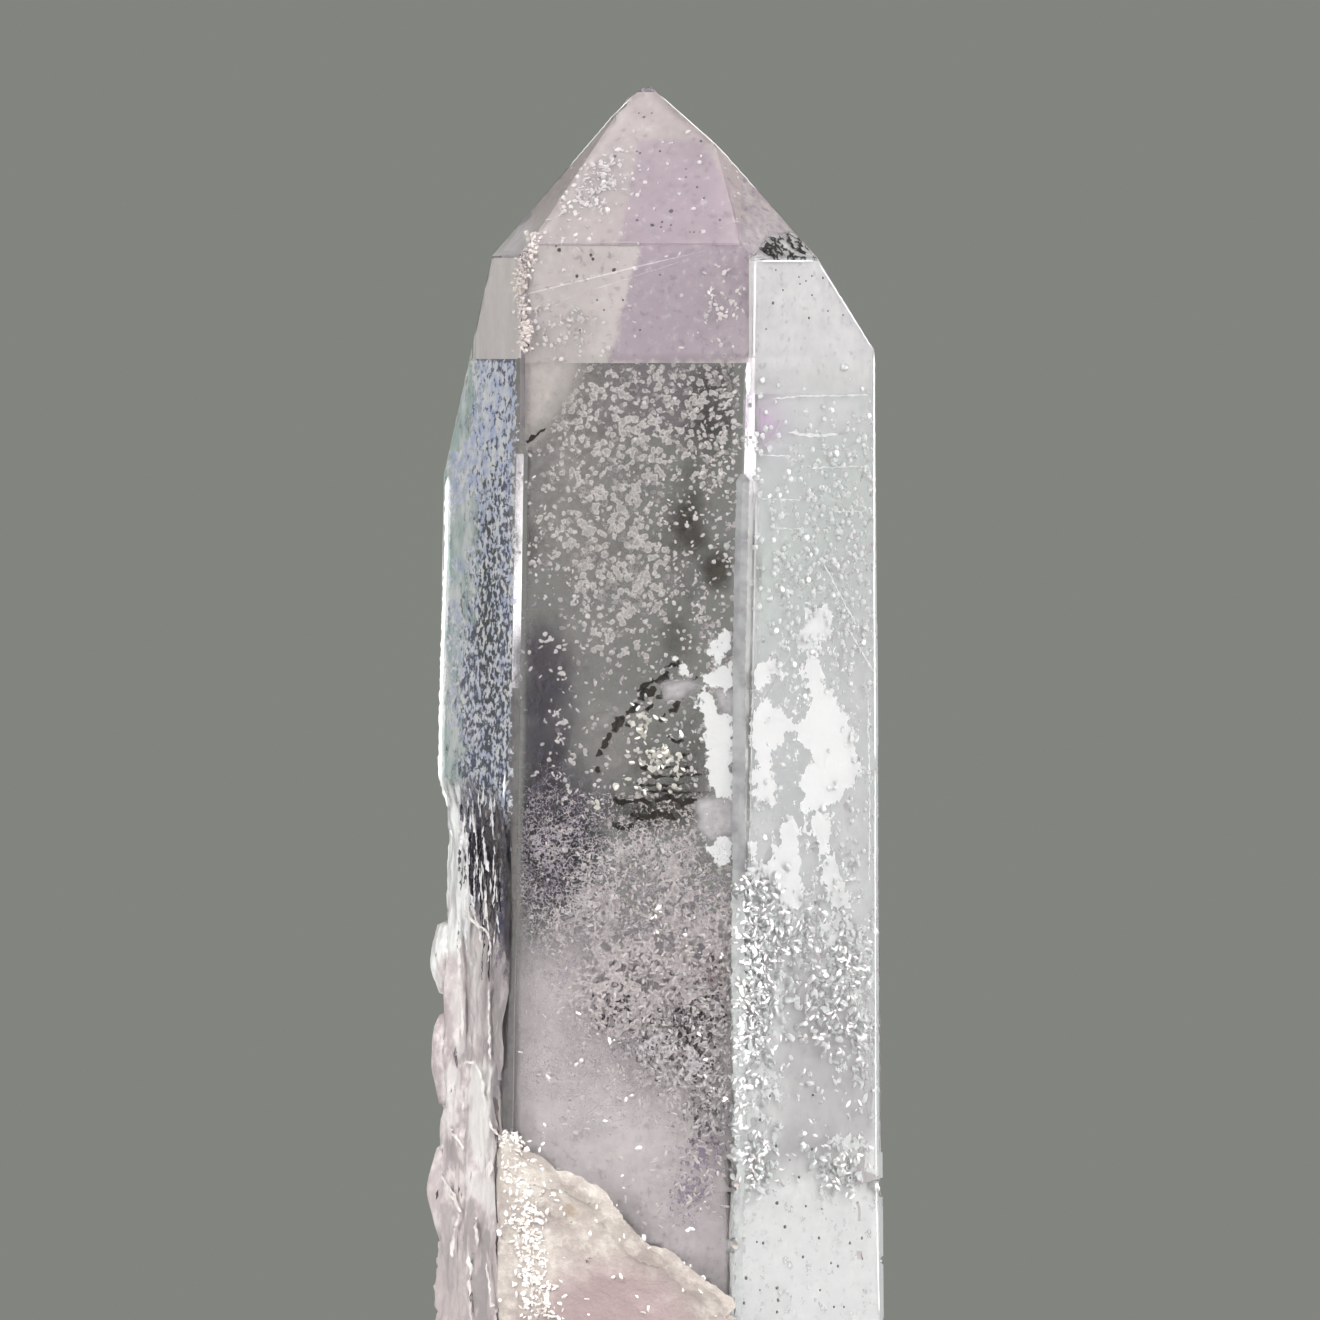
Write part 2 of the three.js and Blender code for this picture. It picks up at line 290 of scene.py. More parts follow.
def prism_plane(side):
    """A point on a side's upright face, and its normal."""
    _, reach, flare, rise = SIDES[side]
    shoulder = TIP_HEIGHT_MM + rise - CAP_SLOPE * reach
    point = (outward(side) * reach + Vector((0, 0, shoulder))) * MM
    return point, (outward(side) + Vector((0, 0, flare))).normalized()


def cap_plane(side):
    """A point on a side's cap face, and its normal."""
    rise = SIDES[side][3]
    point = Vector((0, 0, TIP_HEIGHT_MM + rise)) * MM
    return point, (outward(side) * CAP_SLOPE + Vector((0, 0, 1))).normalized()


# The narrow faces on the upright edges: their azimuth and how far they lean up, in degrees.
EDGE_FACES = [(-46.1, 1.2), (16.0, 0.3), (76.1, 0.1), (136.0, 0.4)]


def facing(azimuth, lean):
    """The direction with an azimuth and a lean."""
    turn, rise = math.radians(azimuth), math.radians(lean)
    return Vector((math.sin(turn) * math.cos(rise), -math.cos(turn) * math.cos(rise), math.sin(rise)))


FLAT_NORMALS = [plane(side)[1] for side in SIDES for plane in (prism_plane, cap_plane)]
FLAT_NORMALS.append(Vector((0, 0, -1)))
EDGE_NORMALS = [facing(*edge_face) for edge_face in EDGE_FACES]
FLAT_COSINE = math.cos(math.radians(1.5))
print("flat sides:", len(SIDES), "edge faces:", len(EDGE_FACES))


def lies_on(normal, flats):
    """True if a face is part of one of the flat faces."""
    return max(normal.dot(flat) for flat in flats) > FLAT_COSINE


# %% The rough places
ROUGH_TOP = 0.0362
FLANK_SOLID_TOP = 0.0328
KNOB_REACH = -0.0088
FLANK_RIGHT = -0.0068
SCAR_TOP = 0.0212
SCAR_RIGHT = 0.0075
SCAR_RIM_FALL = -0.765
SCAR_RIM_AT_AXIS = 0.01495
UNDER_RIM = 0.001
ROUGH_RIGHT = -0.004
SIDE_FACING = 0.55
FRONT_FACING = 0.3


def looks_to(normal, side, least):
    """True if a face looks towards a side closely enough."""
    return normal.dot(outward(side)) > least


def faces_left(normal):
    """True if a face looks towards the left or the back left."""
    return looks_to(normal, "left", SIDE_FACING) or looks_to(normal, "back_left", SIDE_FACING)


def is_rough(centre, normal):
    """True on the crowded flank and in the scar, and false on the faces that grew freely."""
    if centre.z > ROUGH_TOP or lies_on(normal, FLAT_NORMALS + EDGE_NORMALS):
        return False
    in_front = centre.z < SCAR_TOP and looks_to(normal, "front", FRONT_FACING) and centre.x < SCAR_RIGHT
    return (faces_left(normal) and centre.x < ROUGH_RIGHT) or in_front


def low_front(centre, normal):
    """True low on the front, where the scar is and not the flank."""
    return centre.z < SCAR_TOP and centre.x > FLANK_RIGHT and looks_to(normal, "front", FRONT_FACING)


def on_flank(centre, normal):
    """True for every face of the crowded flank, its few flat bits too."""
    if centre.z > ROUGH_TOP or lies_on(normal, EDGE_NORMALS) or low_front(centre, normal):
        return False
    knob = centre.x < KNOB_REACH or (centre.x < FLANK_RIGHT and centre.z < SCAR_TOP)
    return (faces_left(normal) or knob) and (centre.z < FLANK_SOLID_TOP or is_rough(centre, normal))


def in_scar(centre, normal):
    """True for every face of the scar under its rim."""
    rim = SCAR_RIM_AT_AXIS + SCAR_RIM_FALL * centre.x
    forward = low_front(centre, normal) and centre.x < SCAR_RIGHT
    return forward and (is_rough(centre, normal) or centre.z < rim - UNDER_RIM)


# %% The clear body
crystal = frame["nodes"]["crystal"]
MERGE = 0.000002
body = placed("crystal_body", crystal.data.copy())
open_all(body, "VERT")
bpy.ops.mesh.remove_doubles(threshold=MERGE)
done()
rough_count = select_faces(body, is_rough)
edit(body)
bpy.ops.mesh.select_less()
bpy.ops.mesh.subdivide(number_cuts=2, smoothness=0.0, fractal=0.22, fractal_along_normal=0.6, seed=4)
bpy.ops.mesh.vertices_smooth(factor=0.35, repeat=2)
bpy.ops.mesh.faces_shade_smooth()
done()


def rough_flank(centre, normal):
    """True on the rough faces of the flank."""
    return is_rough(centre, normal) and centre.x < FLANK_RIGHT


for wanted, rounds in ((is_rough, 10), (rough_flank, 25)):
    select_faces(body, wanted)
    edit(body)
    bpy.ops.mesh.select_less()
    bpy.ops.mesh.vertices_smooth(factor=0.5, repeat=rounds)
    done()
select_faces(body, lambda centre, normal: lies_on(normal, FLAT_NORMALS + EDGE_NORMALS))
edit(body)
bpy.ops.mesh.faces_shade_flat()
done()
print("rough faces:", rough_count, "body faces:", len(body.data.polygons))

# %% [markdown]
# What lies inside has to be seen in its right place, and quartz bends light. So a sight line is
# followed from the camera to the surface and, bent as quartz bends it, on into the crystal. Things
# are then set along it, at a depth behind the surface. A bearing walks the camera round the crystal.

# %% Sight lines
plain_body = bmesh.new()
plain_body.from_mesh(crystal.data)
bmesh.ops.remove_doubles(plain_body, verts=plain_body.verts, dist=MERGE)
body_tree = BVHTree.FromBMesh(plain_body)
QUARTZ_IOR = 1.544
NUDGE = 0.00001
LONGEST_SLIDE = 150


def bent(ray, normal, ratio):
    """The ray's direction after it crosses a surface."""
    cosine = -ray.dot(normal)
    inside = 1 - ratio * ratio * (1 - cosine * cosine)
    return (ray * ratio + normal * (ratio * cosine - math.sqrt(inside))).normalized()


def look_in(column, row, bearing=0.0):
    """Where the sight line of a pixel meets the body, the face's normal, and the way and reach inside."""
    turn = Matrix.Rotation(math.radians(bearing), 3, "Z")
    start = turn @ eye
    ray = (turn @ Vector((across_at(column), 0, height_at(row))) - start).normalized()
    spot, normal, _, _ = body_tree.ray_cast(start, ray)
    if spot is None:
        return None
    inner = bent(ray, normal, 1 / QUARTZ_IOR)
    reach = body_tree.ray_cast(spot + inner * NUDGE, inner)[3] or 0
    return spot, normal, inner, reach


def behind(column, row, depth, bearing=0.0):
    """The point that is seen at a pixel, at a depth in metres behind the surface there."""
    found = look_in(column, row, bearing)
    if found is None:
        return None
    spot, _, inner, reach = found
    return spot + inner * min(depth, reach / 2)


def behind_or_near(column, row, depth, bearing=0.0):
    """As behind, but a sight line that misses the crystal slides towards its axis."""
    for _ in range(LONGEST_SLIDE):
        place = behind(column, row, depth, bearing)
        if place is not None:
            return place
        column += math.copysign(1, AXIS_PIXEL - column)
    return None


# %% [markdown]
# Quartz is plain clear glass with a trace of lilac. It bends light by 1.544 and takes out a little
# green on the way, which the volume does. Only the left face is etched with fine upright striae.

# %% Clear quartz
quartz = Recipe("amethyst_clear")
left_mask = quartz.spread(quartz.leftward(), 0.97, 0.995)
striae = quartz.noise(900.0, 4.0, 0.6, quartz.stretched((1.6, 1.6, 0.07)))
waves = quartz.noise(160.0, 1.0, 0.4)
relief = quartz.plus(quartz.times(striae, left_mask), quartz.times(waves, 0.25))
glass = quartz.node("BsdfPrincipled", {
    "Base Color": (1, 1, 1, 1),
    "Roughness": quartz.times(left_mask, 0.05),
    "IOR": QUARTZ_IOR,
    "Transmission Weight": 1.0,
    "Normal": quartz.bumps(relief, 0.35, 0.00006),
})
quartz.fill((0.86, 0.70, 0.86, 1), 14.0)
body.data.materials.clear()
body.data.materials.append(quartz.surface(glass.outputs[0]))
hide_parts("crystal")


def belongs(piece):
    """Makes a piece part of the crystal."""
    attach(piece, "root")
    return piece


belongs(body)


def inside(piece):
    """As belongs, for what lies in the glass. No straight shadow ray gets there, so none is tried."""
    piece.visible_shadow = False
    return belongs(piece)


# %% [markdown]
# A quartz crystal often holds phantoms: milky layers that settled on its faces while it grew, and
# that later growth covered. Each is the crystal's own form, only smaller. It is cut here from a
# block, one face at a time, as the crystal is.


# %% Growth forms
BLOCK_WIDTH = 0.044


def growth_form(name, inset, bottom, top=0.07):
    """The crystal's form, set in from its faces, between two heights."""
    deselect()
    bpy.ops.mesh.primitive_cube_add(size=1, location=(0, 0, (bottom + top) / 2))
    made = named(name)
    made.scale = (BLOCK_WIDTH, BLOCK_WIDTH, top - bottom)
    bpy.ops.object.transform_apply(location=True, rotation=False, scale=True)
    edit(made)
    for side in SIDES:
        for point, normal in (prism_plane(side), cap_plane(side)):
            bpy.ops.mesh.select_all(action="SELECT")
            bpy.ops.mesh.bisect(
                plane_co=point - normal * inset, plane_no=normal, use_fill=True, clear_outer=True)
    done()
    return made


def milk_material(name, colour, clear_height, milky_height, share):
    """A thin milky layer that is clear at one height and milky at another."""
    milk = Recipe(name)
    cloud = milk.noise(260.0, 4.0, 0.6)
    ragged = milk.plus(milk.height(), milk.times(cloud, 0.009))
    shade = milk.height() if milky_height > clear_height else ragged
    amount = milk.spread(shade, clear_height, milky_height, 0.0, share)
    patchy = milk.times(amount, milk.spread(cloud, 0.2, 0.75, 0.6, 1.25))
    white = milk.node("BsdfDiffuse", {"Color": colour})
    through = milk.node("BsdfTranslucent", {"Color": colour})
    return milk.veil(patchy, milk.node("MixShader", {0: 0.5, 1: white.outputs[0], 2: through.outputs[0]}))


tip_milk = milk_material("milk_at_the_tip", (0.93, 0.86, 0.90, 1), 0.0530, 0.0545, 0.42)
root_milk = milk_material("milk_at_the_root", (0.93, 0.86, 0.88, 1), 0.0325, 0.0275, 0.40)
for phantom, milk in ((growth_form("phantom_tip", 0.0012, 0.0528), tip_milk),
                      (growth_form("phantom_root", 0.0020, 0.0004, 0.034), root_milk)):
    phantom.data.materials.append(milk)
    inside(phantom)


# %% [markdown]
# Amethyst is never evenly coloured. The tip holds a lilac zone with straight sides, because colour
# follows the growth faces. A zone only tints the light, so it has no bending power of its own.


# %% The lilac zone
def zone_material(name, colour, density):
    """A part of the crystal with more colour: it only tints, and doesn't bend the light."""
    zone = Recipe(name)
    clear = zone.node("BsdfPrincipled", {
        "Base Color": (1, 1, 1, 1),
        "Roughness": 0.0,
        "IOR": 1.0,
        "Transmission Weight": 1.0,
    })
    zone.fill(colour, density)
    return zone.surface(clear.outputs[0])


deselect()
bpy.ops.mesh.primitive_cylinder_add(
    vertices=6, radius=1, depth=1, location=(0, 0, 0), end_fill_type="NGON")
tip_zone = named("lilac_tip_zone")
open_all(tip_zone)
bpy.ops.transform.rotate(value=math.radians(14), orient_axis="Z", center_override=(0, 0, 0))
bpy.ops.transform.resize(value=(0.0037, 0.0034, 0.0115))
bpy.ops.transform.translate(value=(0.0014, 0.0022, 0.0558))
done()
select_faces(tip_zone, lambda centre, normal: normal.z > 0.9)
edit(tip_zone)
bpy.ops.transform.resize(value=(0.62, 0.5, 1), center_override=(0.0019, 0.0006, 0.0615))
done()
tip_zone.data.materials.append(zone_material("lilac_zone", (0.45, 0.12, 0.55, 1), 45.0))
inside(tip_zone)


# %% [markdown]
# Most of what is seen inside lies in healed cracks: sheets in the crystal with a whitish or dark
# film on them. A sheet is a grid whose points are set behind the surface, a little unevenly. At its
# points it keeps how thickly it is covered and how light it is there, and its material turns that
# into puffs, threads, grains or torn patches, so that no outline follows the grid.


# %% How a sheet is covered
def step(value, low, high):
    """0 below low, 1 above high, and a smooth rise between."""
    share = min(max((value - low) / (high - low), 0), 1)
    return share * share * (3 - 2 * share)


def ovals(clouds, base=0.0):
    """A value at a pixel: a base, and soft ovals that add or take away.

    Each oval is its middle column and row, its half width and half height, and its amount.
    """
    def value(column, row):
        total = base
        for middle_column, middle_row, half_width, half_height, amount in clouds:
            off = ((column - middle_column) / half_width) ** 2 + ((row - middle_row) / half_height) ** 2
            total += amount * math.exp(-off)
        return min(max(total, 0), 1)
    return value


def depth_in(outline, column, row):
    """How far a pixel lies inside an outline, in pixels. It is negative outside."""
    inside = False
    nearest = FRAME_PIXELS
    for (column_a, row_a), (column_b, row_b) in zip(outline, outline[1:] + outline[:1]):
        run, drop = column_b - column_a, row_b - row_a
        if (row_a > row) != (row_b > row) and column < run * (row - row_a) / drop + column_a:
            inside = not inside
        along = ((column - column_a) * run + (row - row_a) * drop) / (run * run + drop * drop)
        along = min(max(along, 0), 1)
        nearest = min(nearest, math.hypot(column - column_a - along * run, row - row_a - along * drop))
    return nearest if inside else -nearest


def patches_of(outlines, softness):
    """A value at a pixel that is 1 well inside any of the outlines, 0.5 on them and 0 outside."""
    def value(column, row):
        deepest = max(depth_in(outline, column, row) for outline in outlines)
        return min(max(0.5 + deepest / softness / 2, 0), 1)
    return value


# %% A sheet
def keep(thing, name, values):
    """Keeps a number at each point of a mesh."""
    layer = thing.data.attributes.new(name, "FLOAT", "POINT")
    layer.data.foreach_set("value", values)


BARE = 0.02
WIDE_WAVE = 60
FINE_WAVE = 14


def sheet(name, area, depth, unevenness, cover, material, seed, tone=None, cell=5, fade=5, lean=(0, 0),
          bearing=0.0):
    """A sheet behind an area of the picture, given by its left, top, right and bottom in pixels.

    The lean slants its left and right side, in pixels across for each pixel down. Where the sheet
    would be bare its faces are taken away.
    """
    left, top, right, bottom = area
    deselect()
    bpy.ops.mesh.primitive_grid_add(
        x_subdivisions=max(2, round((right - left) / cell)),
        y_subdivisions=max(2, round((bottom - top) / cell)), size=1, location=(0, 0, 0))
    made = named(name)
    covers = []
    tones = []
    for vertex in made.data.vertices:
        row = bottom - (vertex.co.y + 0.5) * (bottom - top)
        left_here = left + lean[0] * (row - top)
        right_here = right + lean[1] * (row - top)
        column = left_here + (vertex.co.x + 0.5) * (right_here - left_here)
        wave = noise.noise(Vector((column / WIDE_WAVE, row / WIDE_WAVE, seed)))
        wave += 0.3 * noise.noise(Vector((column / FINE_WAVE, row / FINE_WAVE, seed)))
        vertex.co = behind_or_near(column, row, depth + unevenness * wave, bearing)
        rim = min(column - left_here, right_here - column, row - top, bottom - row)
        covers.append(cover(column, row) * (step(rim, -1, fade) if fade else 1))
        tones.append(tone(column, row) if tone else 0.5)
    keep(made, "cover", covers)
    keep(made, "tone", tones)
    open_all(made)
    bpy.ops.mesh.faces_shade_smooth()
    bpy.ops.mesh.select_all(action="DESELECT")
    done()
    for face in made.data.polygons:
        face.select = max(covers[index] for index in face.vertices) < BARE
    edit(made)
    bpy.ops.mesh.delete(type="FACE")
    done()
    made.data.materials.append(material)
    print(name, "faces:", len(made.data.polygons))
    return inside(made)


# %% [markdown]
# The films are cut out of the sheets by their materials. Where a film is thin the sheet lets all
# light through, and elsewhere it is a dull white or dark surface.


# %% Films
GRAIN_SCALE = 2700.0
DARK_GRAIN = (0.16, 0.14, 0.15, 1)
LIGHT_GRAIN = (1.0, 1.0, 1.0, 1)


class Film(Recipe):
    """A recipe for what lies on a sheet."""

    def __init__(self, name):
        super().__init__(name)
        self.cover = self.node("Attribute", attribute_name="cover").outputs["Fac"]
        self.tone = self.node("Attribute", attribute_name="tone").outputs["Fac"]

    def centred(self, value, strength):
        """A pattern moved to lie around 0, and strengthened."""
        return self.times(self.minus(value, 0.5), strength)

    def show(self, amount, light, shade, mask, relief=None, speckle=0.0):
        """Shows the film by its amount, from shade to light by a mask, with some dark and light grains."""
        colour = self.blend(mask, shade, light)
        if speckle:
            grains = self.noise(GRAIN_SCALE, 3.0, 0.6)
            colour = self.blend(self.spread(grains, 0.28, 0.44, speckle, 0.0), colour, DARK_GRAIN)
            colour = self.blend(self.spread(grains, 0.57, 0.74, 0.0, speckle), colour, LIGHT_GRAIN)
        inputs = {"Color": colour}
        if relief is not None:
            inputs["Normal"] = self.bumps(relief, 0.6, 0.0001)
        return self.veil(amount, self.node("BsdfDiffuse", inputs))


def milky_film(name, light, shade, scale, grain, opacity, speckle=0.0):
    """A smooth film whose tone is a little grainy."""
    film = Film(name)
    fine = film.noise(scale, 4.0, 0.6)
    cloud = film.noise(scale * 0.13, 3.0, 0.6)
    amount = film.times(film.cover, film.spread(cloud, 0.3, 0.7, opacity * 0.85, opacity))
    mask = film.spread(film.plus(film.tone, film.centred(fine, grain)), 0.0, 1.0)
    return film.show(amount, light, shade, mask, None, speckle)


def puffy_film(name, light, shade, scale, clusters, opacity, softness=0.12):
    """Small round puffs that gather in clusters."""
    film = Film(name)
    stir = film.node("TexNoise", {"Vector": film.place, "Scale": scale * 1.5, "Detail": 2.0}).outputs["Color"]
    push = film.node("VectorMath", {0: stir, "Scale": 0.7 / scale}, operation="SCALE").outputs[0]
    stirred = film.node("VectorMath", {0: film.place, 1: push}, operation="ADD").outputs[0]
    cells = film.node("TexVoronoi", {"Vector": stirred, "Scale": scale}).outputs["Distance"]
    fine = film.noise(scale * 2.2, 3.0, 0.65)
    gather = film.centred(film.noise(clusters, 2.0, 0.55), 1.1)
    edge = film.plus(film.times(film.cover, 1.05), gather)
    inside = film.minus(edge, film.plus(cells, film.centred(fine, 0.7)))
    amount = film.times(film.spread(inside, -softness, softness), opacity)
    amount = film.times(amount, film.spread(film.cover, BARE, 0.12))
    rim = film.spread(inside, 0.02, 0.4, 0.75, 0.15)
    mask = film.spread(film.plus(rim, film.centred(fine, 2.0)), 0.0, 1.0)
    return film.show(amount, light, shade, mask, inside)


def torn_film(name, light, shade, scale, ragged, softness, opacity, stretch=(1, 1, 1), mottle=3.0):
    """Crisp patches with a ragged edge. The mottle says how fine the tone varies against the tear."""
    film = Film(name)
    tear = film.noise(scale, 5.0, 0.62, film.stretched(stretch))
    fine = film.noise(scale * mottle, 3.0, 0.6, film.stretched(stretch))
    reach = film.plus(film.cover, film.centred(tear, ragged))
    amount = film.times(film.spread(reach, 0.5 - softness, 0.5 + softness), opacity)
    amount = film.times(amount, film.spread(film.cover, BARE, 0.12))
    mask = film.spread(film.plus(film.tone, film.centred(fine, 2.5)), 0.0, 1.0)
    return film.show(amount, light, shade, mask, tear)


def thread_film(name, light, shade, scale, width, opacity, stretch=(1, 1, 1), even=0.35):
    """Fine threads that wind and branch, wider where the sheet is covered more. Even is 1 at most."""
    film = Film(name)
    winding = film.noise(scale, 3.0, 0.6, film.stretched(stretch))
    fine = film.noise(scale * 2.5, 2.0, 0.6)
    off = film.math("ABSOLUTE", film.minus(winding, 0.5))
    patchy = film.spread(film.noise(scale * 0.2, 2.0), 0.38, 0.62, width * even, width * (2.05 - even))
    reach = film.minus(film.times(film.cover, patchy), off)
    amount = film.times(film.spread(reach, -0.006, 0.01), opacity)
    mask = film.spread(film.plus(film.tone, film.centred(fine, 2.5)), 0.0, 1.0)
    return film.show(amount, light, shade, mask)


# %% [markdown]
# The tip is milky. The lilac is the crystal's own colour, but the straight steps where the tone
# changes are painted light, for the different light that the back caps bend into view. One sheet
# under the front cap and the band below it carries the milk. Its tone changes where the lilac part
# starts.

# %% The milky tip
CAP_FOOT = 244
# The steps of tone along these outlines are painted light, bent in through the back caps.
CAP_LILAC = [(640, 140), (700, 140), (727, 182), (741, CAP_FOOT), (619, CAP_FOOT)]
BAND_LILAC = [(640, CAP_FOOT), (750, CAP_FOOT), (753, 362), (609, 362)]
lilac_part = patches_of([CAP_LILAC, BAND_LILAC], 3)


def tip_tone(column, row):
    """Light on the left of the tip and lilac on its right."""
    return 1 - lilac_part(column, row)


cap_film = milky_film("film_cap", (0.64, 0.55, 0.545, 1), (0.53, 0.415, 0.48, 1), 2600, 1.6, 0.92, 0.36)
tip_film = milky_film("film_tip", (0.84, 0.78, 0.75, 1), (0.56, 0.465, 0.525, 1), 2600, 2.0, 0.90, 0.42)
TIP_CLOUDS = [(650, 100, 40, 30, 0.1), (590, 200, 40, 40, 0.05), (735, 220, 25, 40, 0.1)]
sheet("veil_cap", (532, 92, 741, CAP_FOOT + 1), 0.0004, 0.00005, ovals(TIP_CLOUDS, 0.80), cap_film, 1.0,
      tip_tone, fade=0)
sheet("veil_band", (525, CAP_FOOT - 1, 754, 363), 0.0005, 0.00005, ovals([], 0.80), tip_film, 2.0,
      tip_tone, fade=0)
pale_film = milky_film("film_right_cap", (0.92, 0.91, 0.90, 1), (0.80, 0.79, 0.79, 1), 1500, 2.2, 0.94, 0.30)
sheet("veil_right_cap", (718, 150, 816, 261), 0.0005, 0.00005, ovals([], 0.75), tip_film, 3.0, fade=0,
      lean=(0.33, 0.0))
sheet("veil_right_band", (749, 259, 874, 394), 0.0004, 0.00005, ovals([(815, 392, 90, 24, -0.45)], 0.88),
      pale_film, 4.0, fade=0)
left_film = milky_film("film_left_band", (0.98, 0.92, 0.90, 1), (0.88, 0.82, 0.80, 1), 2600, 1.0, 0.9)
sheet("veil_left_band", (476, 258, 521, 359), 0.00006, 0.00002, ovals([], 1.0), left_film, 5.0, fade=0)

# %% [markdown]
# Behind the front face the crystal is smoky, brown to the right and violet to the left. Two dark
# sheets lie deepest. In front of them float sheets of milk and of small puffs, thick at the top.

# %% Smoke and puffs behind the front
FRONT_LEAN = (-0.012, -0.012)
BROWN_SMOKE = [
    (712, 412, 30, 62, 0.62), (688, 528, 20, 34, 0.75), (716, 571, 15, 18, 0.95), (676, 630, 20, 45, 0.45),
    (532, 540, 14, 22, 0.65), (690, 760, 20, 50, 0.45), (655, 812, 44, 20, 0.8), (640, 765, 30, 30, 0.3),
    (600, 560, 40, 40, 0.1), (625, 985, 30, 34, 0.4), (690, 1005, 22, 22, 0.45), (640, 500, 60, 60, 0.12),
]
VIOLET_SMOKE = [
    (545, 660, 34, 50, 0.7), (545, 750, 36, 80, 0.72), (540, 860, 34, 80, 0.95), (580, 860, 26, 50, 0.6),
    (600, 800, 24, 40, 0.4), (635, 440, 30, 30, 0.25),
]
brown_film = torn_film("film_brown", (0.10, 0.085, 0.06, 1), (0.02, 0.017, 0.012, 1), 700, 1.0, 0.42, 0.88)
violet_film = torn_film("film_violet", (0.10, 0.085, 0.13, 1), (0.025, 0.018, 0.04, 1), 800, 0.9, 0.42, 0.85,
                        (1.4, 1.4, 0.6))
sheet("smoke_brown", (524, 361, 738, 1060), 0.0042, 0.0006, ovals(BROWN_SMOKE, 0.06), brown_film, 1.0,
      cell=7, lean=FRONT_LEAN)
sheet("smoke_violet", (522, 560, 660, 960), 0.0036, 0.0006, ovals(VIOLET_SMOKE, 0.0), violet_film, 2.0,
      cell=7, lean=(-0.012, 0))

MILKY_CORNER = [(516, 340), (585, 340), (566, 396), (547, 424), (524, 446), (512, 446)]
FRONT_MILK = [
    (600, 560, 42, 44, 0.50), (600, 632, 30, 22, 0.40), (604, 724, 26, 26, 0.60), (612, 762, 20, 14, 0.5),
    (552, 450, 54, 100, 0.75), (610, 410, 60, 50, 0.40), (575, 660, 40, 20, 0.15), (655, 700, 20, 20, 0.2),
]
corner = patches_of([MILKY_CORNER], 16)
milk_film = milky_film("film_milk", (0.60, 0.56, 0.53, 1), (0.44, 0.40, 0.40, 1), 3000, 2.0, 0.85)
corner_film = milky_film("film_corner", (0.84, 0.78, 0.74, 1), (0.70, 0.645, 0.61, 1), 2600, 2.0, 0.80, 0.25)
sheet("milk_front", (524, 359, 744, 800), 0.0030, 0.0006, ovals(FRONT_MILK, 0.08), milk_film, 3.0,
      lean=FRONT_LEAN)
sheet("milk_corner", (525, 360, 600, 450), 0.0006, 0.0001, corner, corner_film, 3.5, cell=3, fade=0)

PUFFS = [
    (640, 400, 90, 40, 0.16), (720, 410, 26, 60, 0.02), (615, 480, 60, 60, 0.12), (600, 560, 50, 60, 0.18),
    (645, 600, 40, 60, 0.10), (540, 460, 18, 60, -0.12), (690, 530, 22, 36, -0.30), (722, 570, 18, 26, -0.45),
    (724, 495, 14, 36, -0.12), (676, 640, 22, 36, -0.25), (548, 670, 34, 80, -0.42), (545, 790, 34, 90, -0.5),
    (600, 720, 34, 40, -0.25), (660, 740, 60, 50, -0.22), (660, 815, 60, 30, -0.35), (590, 830, 30, 60, -0.2),
]
puffs = puffy_film("film_puffs", (0.80, 0.76, 0.74, 1), (0.48, 0.45, 0.44, 1), 3100, 1300, 0.92, 0.07)
deep_puffs = puffy_film("film_deep_puffs", (0.70, 0.66, 0.64, 1), (0.38, 0.36, 0.35, 1), 2700, 1000, 0.85,
                        0.09)
sheet("puffs_front", (526, 360, 744, 880), 0.0008, 0.0003, ovals(PUFFS, 0.31), puffs, 2.0,
      lean=FRONT_LEAN)
sheet("puffs_deep", (526, 360, 742, 880), 0.0022, 0.0006, ovals(PUFFS, 0.20), deep_puffs, 5.0,
      lean=FRONT_LEAN)

# %% [markdown]
# Lower down the front turns to fibres and then to smooth pink milk, which hides the crystal's root.
# At its right edge the milk breaks up into light and dark grains.

# %% Fibres, grains and milk low in the front
LOW_TOP = 850
ROOT_ROW = 1528
LOW_GAPS = [
    (625, 990, 30, 36, -0.55), (690, 1008, 26, 26, -0.5), (545, 880, 40, 50, -0.6), (640, 900, 60, 40, -0.1),
    (532, 930, 20, 26, -0.3),
]
low_ovals = ovals(LOW_GAPS, 1.0)


def low_milk(column, row):
    """Milk that thickens downwards, with gaps."""
    return step(row, 860, 1000) * 0.96 * low_ovals(column, row)


low_film = milky_film("film_low", (1.0, 0.925, 0.925, 1), (0.80, 0.715, 0.745, 1), 2400, 1.6, 0.94, 0.30)
sheet("milk_low", (517, LOW_TOP, 737, ROOT_ROW), 0.0016, 0.0004, low_milk, low_film, 8.0, lean=(-0.008, 0),
      cell=6, tone=ovals([(700, 1200, 60, 90, -0.25), (560, 1000, 60, 60, 0.25)], 0.72))
THREADS = [
    (640, 880, 60, 50, 0.4), (680, 900, 50, 60, 0.5), (620, 960, 60, 60, 0.45), (570, 850, 30, 40, 0.25),
    (700, 960, 40, 60, 0.4), (640, 1020, 50, 50, 0.45),
]
threads = thread_film("film_threads", (0.92, 0.84, 0.83, 1), (0.55, 0.49, 0.50, 1), 2300, 0.085, 0.9)
fine_threads = thread_film("film_fine_threads", (0.84, 0.76, 0.82, 1), (0.42, 0.36, 0.44, 1), 3300, 0.05,
                           0.85)
sheet("threads_front", (520, 790, 738, 1100), 0.0007, 0.0003, ovals(THREADS, 0.08), threads, 3.0,
      lean=FRONT_LEAN)
veins = thread_film("film_veins", (0.92, 0.87, 0.88, 1), (0.60, 0.54, 0.57, 1), 2300, 0.07, 0.9, even=0.5)
VEIN_CLOUDS = [(545, 890, 30, 50, 0.34), (600, 900, 26, 50, 0.4), (655, 850, 50, 24, 0.4),
               (700, 1060, 30, 60, 0.6), (650, 1040, 30, 40, 0.4), (690, 900, 30, 30, 0.4),
               (600, 1090, 60, 50, 0.25)]
